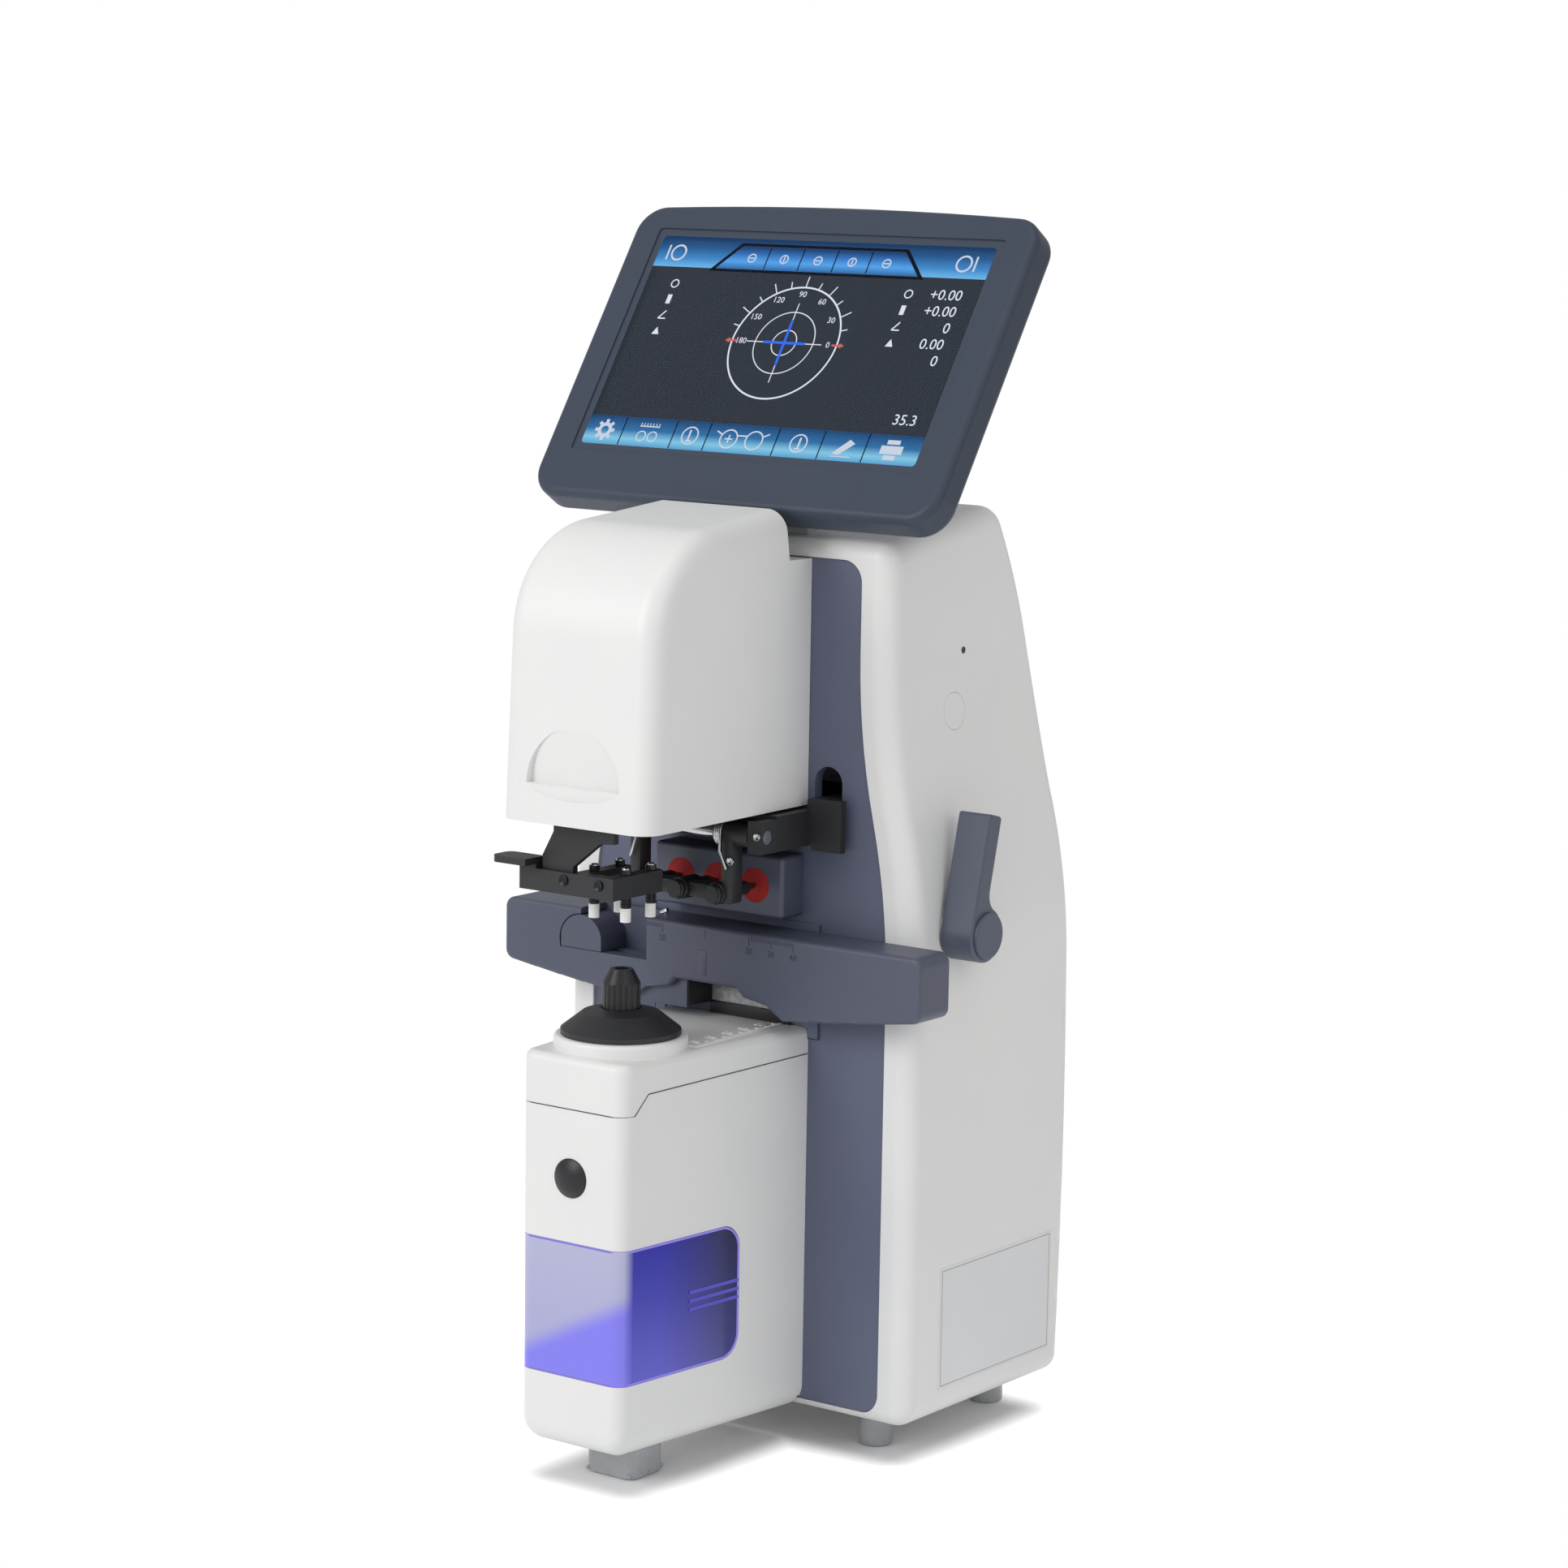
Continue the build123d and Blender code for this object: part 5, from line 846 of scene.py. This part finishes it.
def lay(origin, along, up):
    """Matrix that lays a flat drawing on a face of the object."""
    return Matrix.Translation(origin) @ Matrix((along, up, along.cross(up))).transposed().to_4x4()


# The engraved ticks and figures are a darker slate sheet: their dark is painted shade of the grooves.
groove_shade_slate = moulded("slate_ABS_engraved_mark_painted_groove_shade", "2C303C", "282C38", 0.55, patch=6.0)
# The seam material is painted shadow, laid in gaps that are dark only by shade.
seam_painted_shadow = moulded("shadow_gap_slate", "272A33", "23262F", 0.6, patch=9.0)
bm = bmesh.new()
for x in (*range(-27, -19), *range(20, 41)):
    add_rect(bm, x - 0.15, x + 0.15, 191.8 if x % 10 == 0 else 193.6, 195.2)
add_rect(bm, -0.13, 0.13, 191.8, 195.2)
for x in (-20, 20, 30, 40):
    add_figures(bm, str(abs(x)), x, 189.7, 2.3)
sheet_piece("table_scale", bm, lay(at(0, 77.4, 0), ACROSS, UP), 0.05, "table", groove_shade_slate)
bm = bmesh.new()
add_block(bm, at(-3.2, 77.15, 178.0), at(0.6, 77.8, 187.4), 0.25)
make_piece("table_index_rib", bm, "table", slate_abs)
bm = bmesh.new()
add_bar(bm, at(-30.6, 90.1, 196.2), at(-27.4, 90.1, 197.6), 1.0, edge=0.3)
make_piece("table_peg", bm, "table", bright_steel)

# %% [markdown]
# The lid under the lens has a ruler too, in low raised strokes of the casing's plastic, given a lighter copy
# of its white as painted light. A thin white stroke on a white lid is otherwise seen only by the shadow at
# its edge, as on the real one.

# %% Ruler on the lid
bm = bmesh.new()
for step in range(53):
    length = 3.2 if step % 10 == 0 else 2.4 if step % 5 == 0 else 1.4
    add_rect(bm, 22.6 - length, 22.6, 43.0 + step - 0.27, 43.0 + step + 0.27)
add_rect(bm, 22.6, 23.2, 42.8, 95.2)
for number in range(10, 60, 10):
    add_figures(bm, str(number), 17.0, 39.0 + number, 3.0)
ruler_painted_lighter = moulded("white_ABS_raised_stroke_painted_lighter", "FCFCFB", "FAFAF9", 0.4, patch=8.0)
sheet_piece("lid_ruler", bm, lay(at(0, 0, 160.0), ACROSS, BACK), 0.35, "base", ruler_painted_lighter)

# %% [markdown]
# The gap between lid and column is only a quarter of a millimetre. A thin dark cord laid in it is painted
# shadow of the gap: it keeps the line crisp at any size of picture, where the gap alone would blur to grey.

# %% Seam under the lid
def column_side(back):
    """Half width of the column in millimetres at a distance behind its front."""
    return 23.4 + back * 9.6 / 97.5


bm = bmesh.new()
for side in (-1, 1):
    front = [at(side * x, -0.02, 141.12) for x in (0.0, 17.4)]
    corner = [at(side * (17.4 + 6.0 * math.sin(a)), 6.0 - 6.02 * math.cos(a), 141.12)
              for a in (math.pi / 2 * k / 8 for k in range(1, 8))]
    flank = [at(side * (column_side(y) + 0.02), y, z)
             for y, z in ((6.2, 141.15), (13.0, 148.1), (97.0, 150.1))]
    add_wire(bm, front + corner + flank, 0.2, sides=6)
make_piece("lid_seam", bm, "base", seam_painted_shadow, smooth_angle=60.0)

# %% [markdown]
# Behind the table's arch a roughly ground plate and the dark edge of the panel show. Thin dark seams,
# painted shadow of the gaps, mark the raised field of the front panel.

# %% Plate and seams behind the table
ground_plate = moulded("ground_zinc_plate", "E6E6E4", "8E9090", 0.5, grain=1.6, depth=0.6, patch=1.8)
bm = bmesh.new()
add_block(bm, at(-10.5, 95.9, 164.8), at(20.0, 96.5, 170.6), 0.1)
make_piece("arch_plate", bm, "base", ground_plate)
bm = bmesh.new()
add_block(bm, at(-10.8, 95.0, 160.2), at(26.0, 95.6, 164.7), 0.2)
make_piece("arch_seal", bm, "base", black_abs)
bm = bmesh.new()
add_block(bm, at(-11.1, 81.6, 164.4), at(-10.6, 95.4, 174.6), 0.2)
make_piece("arm_side_pad", bm, "table", black_abs)
bm = bmesh.new()
for x in (-38.0, 38.0):
    add_rect(bm, x - 0.22, x + 0.22, 156.0, 199.0)
add_rect(bm, -38.0, -33.2, 155.8, 156.2)
add_rect(bm, 33.2, 38.0, 155.8, 156.2)
sheet_piece("panel_seams", bm, lay(at(0, 96.72, 0), ACROSS, UP), 0.05, "base", seam_painted_shadow)

# %% [markdown]
# Under the half-moon thumb recess the head swells into a low lip. It is a flattened sphere cut by a plane,
# and only its lower half stays.

# %% Grip lip on the head
bm = bmesh.new()
centre = Matrix.Translation(at(0, -0.7, 256.6))
bmesh.ops.create_uvsphere(bm, u_segments=64, v_segments=24, radius=1.0,
                          matrix=centre @ Matrix.Diagonal((21.0 * MM, 1.45 * MM, 5.2 * MM, 1.0)))
bmesh.ops.bisect_plane(bm, geom=bm.verts[:] + bm.edges[:] + bm.faces[:], plane_co=at(0, 0, 256.9),
                       plane_no=(0, 0, 1), clear_outer=True)
bmesh.ops.holes_fill(bm, edges=[e for e in bm.edges if e.is_boundary])
make_piece("grip_lip", bm, "base", white_abs, smooth_angle=50.0)

# %% [markdown]
# The clear cover glows along its cut edges, because light trapped in the sheet leaves it there. A bright
# strip of painted light follows each edge, and three raised ribs on each side, glowing with painted light
# too, mark where a finger pushes the snap.

# %% Lit edges of the clear cover
painted_edge_glow = glow("violet_painted_light_edge", "9C92F4", 0.8)
painted_rib_glow = glow("violet_painted_light_rib", "6C68D8", 0.7)
LOW, HIGH, REAR, ROUND, BEND = 43.1, 91.9, 61.3, 8.6, 6.1
turns = [math.pi / 2 * k / 12 for k in range(1, 12)]
low_bend = [(REAR - ROUND + ROUND * math.sin(a), LOW + ROUND - ROUND * math.cos(a)) for a in turns]
high_bend = [(REAR - ROUND + ROUND * math.cos(a), HIGH - ROUND + ROUND * math.sin(a)) for a in turns]
outline = [(4.0, LOW), (REAR - ROUND, LOW), *low_bend, (REAR, LOW + ROUND), (REAR, HIGH - ROUND), *high_bend,
           (REAR - ROUND, HIGH), (4.0, HIGH)]
bm = bmesh.new()
for side in (-1, 1):
    add_wire(bm, [at(side * (column_side(y) - 0.1), y, z) for y, z in outline], 0.42, sides=8)
for z in (LOW, HIGH):
    add_wire(bm, [at(x, 0.25, z) for x in (-17.5, 17.5)], 0.4, sides=8)
    for side in (-1, 1):
        add_wire(bm, [at(side * (23.5 - BEND + BEND * math.sin(a)), 6.3 - BEND * math.cos(a), z)
                      for a in (math.pi / 2 * k / 8 for k in range(9))], 0.4, sides=8)
make_piece("cover_lit_edges", bm, "cover", painted_edge_glow, smooth_angle=60.0)
bm = bmesh.new()
for side in (-1, 1):
    for z in (71.2, 68.0, 64.9):
        add_wire(bm, [at(side * (column_side(y) + 0.15), y, z) for y in (35.6, 61.0)], 0.6)
make_piece("cover_snap_ribs", bm, "cover", painted_rib_glow, smooth_angle=60.0)

# %% [markdown]
# The rating plate is a bare sheet of foil on the side, a little smoother than the casing. Its fine border is
# enough to read as a plate.

# %% Rating plate
label_foil = moulded("silver_polyester_label", "E4E5E6", "DFE0E1", 0.34, patch=20.0)
label_ink = moulded("grey_label_border", "A3A5A8", "9B9DA0", 0.5, patch=9.0)
bm = bmesh.new()
add_rect(bm, 117.0, 192.0, 26.0, 72.5)
on_side = lay(Vector((81.0 * MM, COLUMN_FRONT * MM, 0)), BACK, UP)
sheet_piece("rating_plate", bm, on_side, 0.12, "base", label_foil)
bm = bmesh.new()
for low, high in ((27.2, 27.5), (71.0, 71.3)):
    add_rect(bm, 118.2, 190.8, low, high)
for start in (118.2, 190.5):
    add_rect(bm, start, start + 0.3, 27.2, 71.3)
on_plate = lay(Vector((81.12 * MM, COLUMN_FRONT * MM, 0)), BACK, UP)
sheet_piece("rating_plate_border", bm, on_plate, 0.04, "base", label_ink)

# %% [markdown]
# A small dark service hole on each side and the nubs round the front foot's lower rim finish the outside.
# The nubs are small spheres, half sunk in the foot.

# %% Service holes and foot nubs
bm = bmesh.new()
for side in (-1, 1):
    add_bar(bm, at(side * 66.6, 143.5, 298.9), at(side * 67.06, 143.5, 298.9), 1.3, sides=32)
make_piece("side_service_holes", bm, "base", black_abs)
bm = bmesh.new()
nubs = [(x, y) for x in (-9.6, -5.0, 0.0, 5.0, 9.6) for y in (23.6, 42.4)]
nubs += [(x, y) for y in (28.0, 33.0, 38.0) for x in (-11.2, 11.2)]
for x, y in nubs:
    bmesh.ops.create_icosphere(bm, subdivisions=2, radius=0.9 * MM, matrix=Matrix.Translation(at(x, y, 1.5)))
make_piece("foot_nubs", bm, "base", foot_grey, smooth_angle=60.0)

# %% [markdown]
# The stage is a pale floor under an even white world. The floor takes the object's shadow close by and fades
# into white further out, as a cut-out on a white page does. Away from two boxes that stand for the body's
# and the column's footprints, painted light lifts the floor; close to them the lift falls off, which adds
# painted shade round the base to the real shadow. Backgrounds are white only where the camera, a mirror or a
# glass sees them, so the white adds no light of its own.

# %% Floor
FOOTPRINTS = (((0.0, 0.046), (0.066, 0.040)), ((0.0, -0.045), (0.016, 0.042)))
WHITE = linear("FFFFFF")


def footprint_distance(tree, place):
    """Distance in metres from the nearer of the two footprint boxes."""
    gaps = []
    for middle, half in FOOTPRINTS:
        reach = place
        for operation, *vector in (("SUBTRACT", (*middle, 0.0)), ("ABSOLUTE",), ("SUBTRACT", (*half, 0.0)),
                                   ("MAXIMUM", (0.0, 0.0, 0.0))):
            step = add_node(tree, "ShaderNodeVectorMath", {"operation": operation}, reach, *vector)
            reach = step.outputs[0]
        gaps.append(add_node(tree, "ShaderNodeVectorMath", {"operation": "LENGTH"}, reach).outputs["Value"])
    return add_node(tree, "ShaderNodeMath", {"operation": "MINIMUM"}, *gaps).outputs[0]


def stage_material():
    """Floor that takes the shadow near the object, with painted shade where its added light falls off near
    the footprints, and fades into plain white away from it.
    """
    material = bpy.data.materials.new("pale_paper_floor")
    material.use_nodes = True
    tree = material.node_tree
    tree.nodes.clear()
    place = add_node(tree, "ShaderNodeTexCoord").outputs["Object"]
    path = add_node(tree, "ShaderNodeLightPath")
    grain = add_node(tree, "ShaderNodeTexNoise", Vector=place, Scale=1 / (4 * MM))
    tone = add_node(tree, "ShaderNodeMix", {"data_type": "RGBA"}, Factor=grain.outputs["Fac"],
                    A=linear("F6F6F6"), B=linear("F3F3F4"))
    paper = add_node(tree, "ShaderNodeBsdfDiffuse", Color=tone.outputs[2])
    direct = add_node(tree, "ShaderNodeMath", {"operation": "MAXIMUM"}, path.outputs["Is Camera Ray"],
                      path.outputs["Is Glossy Ray"])
    seen = add_node(tree, "ShaderNodeMath", {"operation": "MAXIMUM"}, direct.outputs[0],
                    path.outputs["Is Transmission Ray"])
    # Painted light lifts the floor away from the footprints; its falling off near them is painted shade
    # round the base.
    lift_with_painted_contact_shade = add_node(tree, "ShaderNodeMapRange", {"interpolation_type": "SMOOTHSTEP"},
                          Value=footprint_distance(tree, place), From_Min=0.0, From_Max=0.026, To_Min=0.0,
                          To_Max=0.9)
    lifting = add_node(tree, "ShaderNodeMath", {"operation": "MULTIPLY"}, seen.outputs[0],
                       lift_with_painted_contact_shade.outputs["Result"])
    lift = add_node(tree, "ShaderNodeEmission", Color=WHITE, Strength=lifting.outputs[0])
    shaded = add_node(tree, "ShaderNodeAddShader", None, paper.outputs[0], lift.outputs[0])
    away = add_node(tree, "ShaderNodeVectorMath", {"operation": "LENGTH"}, place)
    fade = add_node(tree, "ShaderNodeMapRange", {"interpolation_type": "SMOOTHSTEP"},
                    Value=away.outputs["Value"], From_Min=0.12, From_Max=0.28)
    share = add_node(tree, "ShaderNodeMath", {"operation": "MULTIPLY"}, fade.outputs["Result"],
                     seen.outputs[0])
    plain = add_node(tree, "ShaderNodeEmission", Color=WHITE, Strength=1.0)
    mix = add_node(tree, "ShaderNodeMixShader", None, share.outputs[0], shaded.outputs[0], plain.outputs[0])
    add_node(tree, "ShaderNodeOutputMaterial", Surface=mix.outputs[0])
    return material


bm = bmesh.new()
bmesh.ops.create_grid(bm, x_segments=8, y_segments=8, size=6.0)
floor_mesh = bpy.data.meshes.new("floor")
bm.to_mesh(floor_mesh)
bm.free()
floor_mesh.materials.append(stage_material())
floor = bpy.data.objects.new("floor", floor_mesh)
bpy.context.scene.collection.objects.link(floor)
print("Floor:", len(floor_mesh.polygons), "faces")

# %% [markdown]
# Three large soft lamps do the modelling: the main one high at the front left, a weak one that keeps the
# right side from going dark, and one overhead. The even white world fills in the rest.

# %% World and lamps
world = bpy.data.worlds.new("studio")
world.use_nodes = True
bpy.context.scene.world = world
tree = world.node_tree
tree.nodes.clear()
path = add_node(tree, "ShaderNodeLightPath")
seen = add_node(tree, "ShaderNodeMath", {"operation": "MAXIMUM"}, path.outputs["Is Camera Ray"],
                path.outputs["Is Transmission Ray"])
ambient = add_node(tree, "ShaderNodeBackground", Color=WHITE, Strength=0.52)
backdrop = add_node(tree, "ShaderNodeBackground", Color=WHITE, Strength=1.0)
mix = add_node(tree, "ShaderNodeMixShader", None, seen.outputs[0], ambient.outputs[0], backdrop.outputs[0])
add_node(tree, "ShaderNodeOutputWorld", Surface=mix.outputs[0])


def soft_lamp(name, place, target, width, power):
    """Large square lamp, of a width in metres and a power in watts, that faces a target."""
    data = bpy.data.lights.new(name, "AREA")
    data.shape = "SQUARE"
    data.size = width
    data.energy = power
    lamp = bpy.data.objects.new(name, data)
    lamp.location = place
    lamp.rotation_euler = (Vector(target) - Vector(place)).to_track_quat("-Z", "Y").to_euler()
    bpy.context.scene.collection.objects.link(lamp)


soft_lamp("main_soft_box", (-0.9, -2.35, 1.35), (0, 0, 0.25), 1.2, 27)
soft_lamp("right_fill", (2.2, -0.9, 1.4), (0, 0, 0.25), 1.4, 7)
soft_lamp("top_soft_box", (0.2, -0.5, 2.1), (0, 0, 0.3), 1.4, 6)
print("Lamps:", len(bpy.data.lights))

# %% [markdown]
# The camera stands where the photograph's did. Its direction was found by fitting known points of the
# object, such as the display's corners, to the picture: thirty-six degrees round to the right, almost
# nine degrees up, and a long lens, which keeps the upright lines nearly parallel.

# %% Camera
CAMERA_PLACE = Vector((0.94816, -1.26985, 0.49083))
FOCAL_PIXELS, PHOTO_PIXELS, SENSOR = 5328.6, 1932, 36.0
TURN, RISE, ROLL = math.radians(36.246), math.radians(8.745), math.radians(0.97)
back = Vector((math.sin(TURN) * math.cos(RISE), -math.cos(TURN) * math.cos(RISE), math.sin(RISE)))
right = (-back).cross(Vector((0, 0, 1))).normalized()
up = right.cross(-back)
rolled_right = right * math.cos(ROLL) + up * math.sin(ROLL)
rolled_up = up * math.cos(ROLL) - right * math.sin(ROLL)
lens = bpy.data.cameras.new("camera")
lens.sensor_fit = "HORIZONTAL"
lens.sensor_width = SENSOR
lens.lens = SENSOR * FOCAL_PIXELS / PHOTO_PIXELS
camera = bpy.data.objects.new("camera", lens)
turn = Matrix((rolled_right, rolled_up, back)).transposed().to_4x4()
camera.matrix_world = Matrix.Translation(CAMERA_PLACE) @ turn
bpy.context.scene.collection.objects.link(camera)
bpy.context.scene.camera = camera
bpy.context.scene.view_settings.view_transform = "Standard"
print("Lens:", round(lens.lens, 1), "mm")
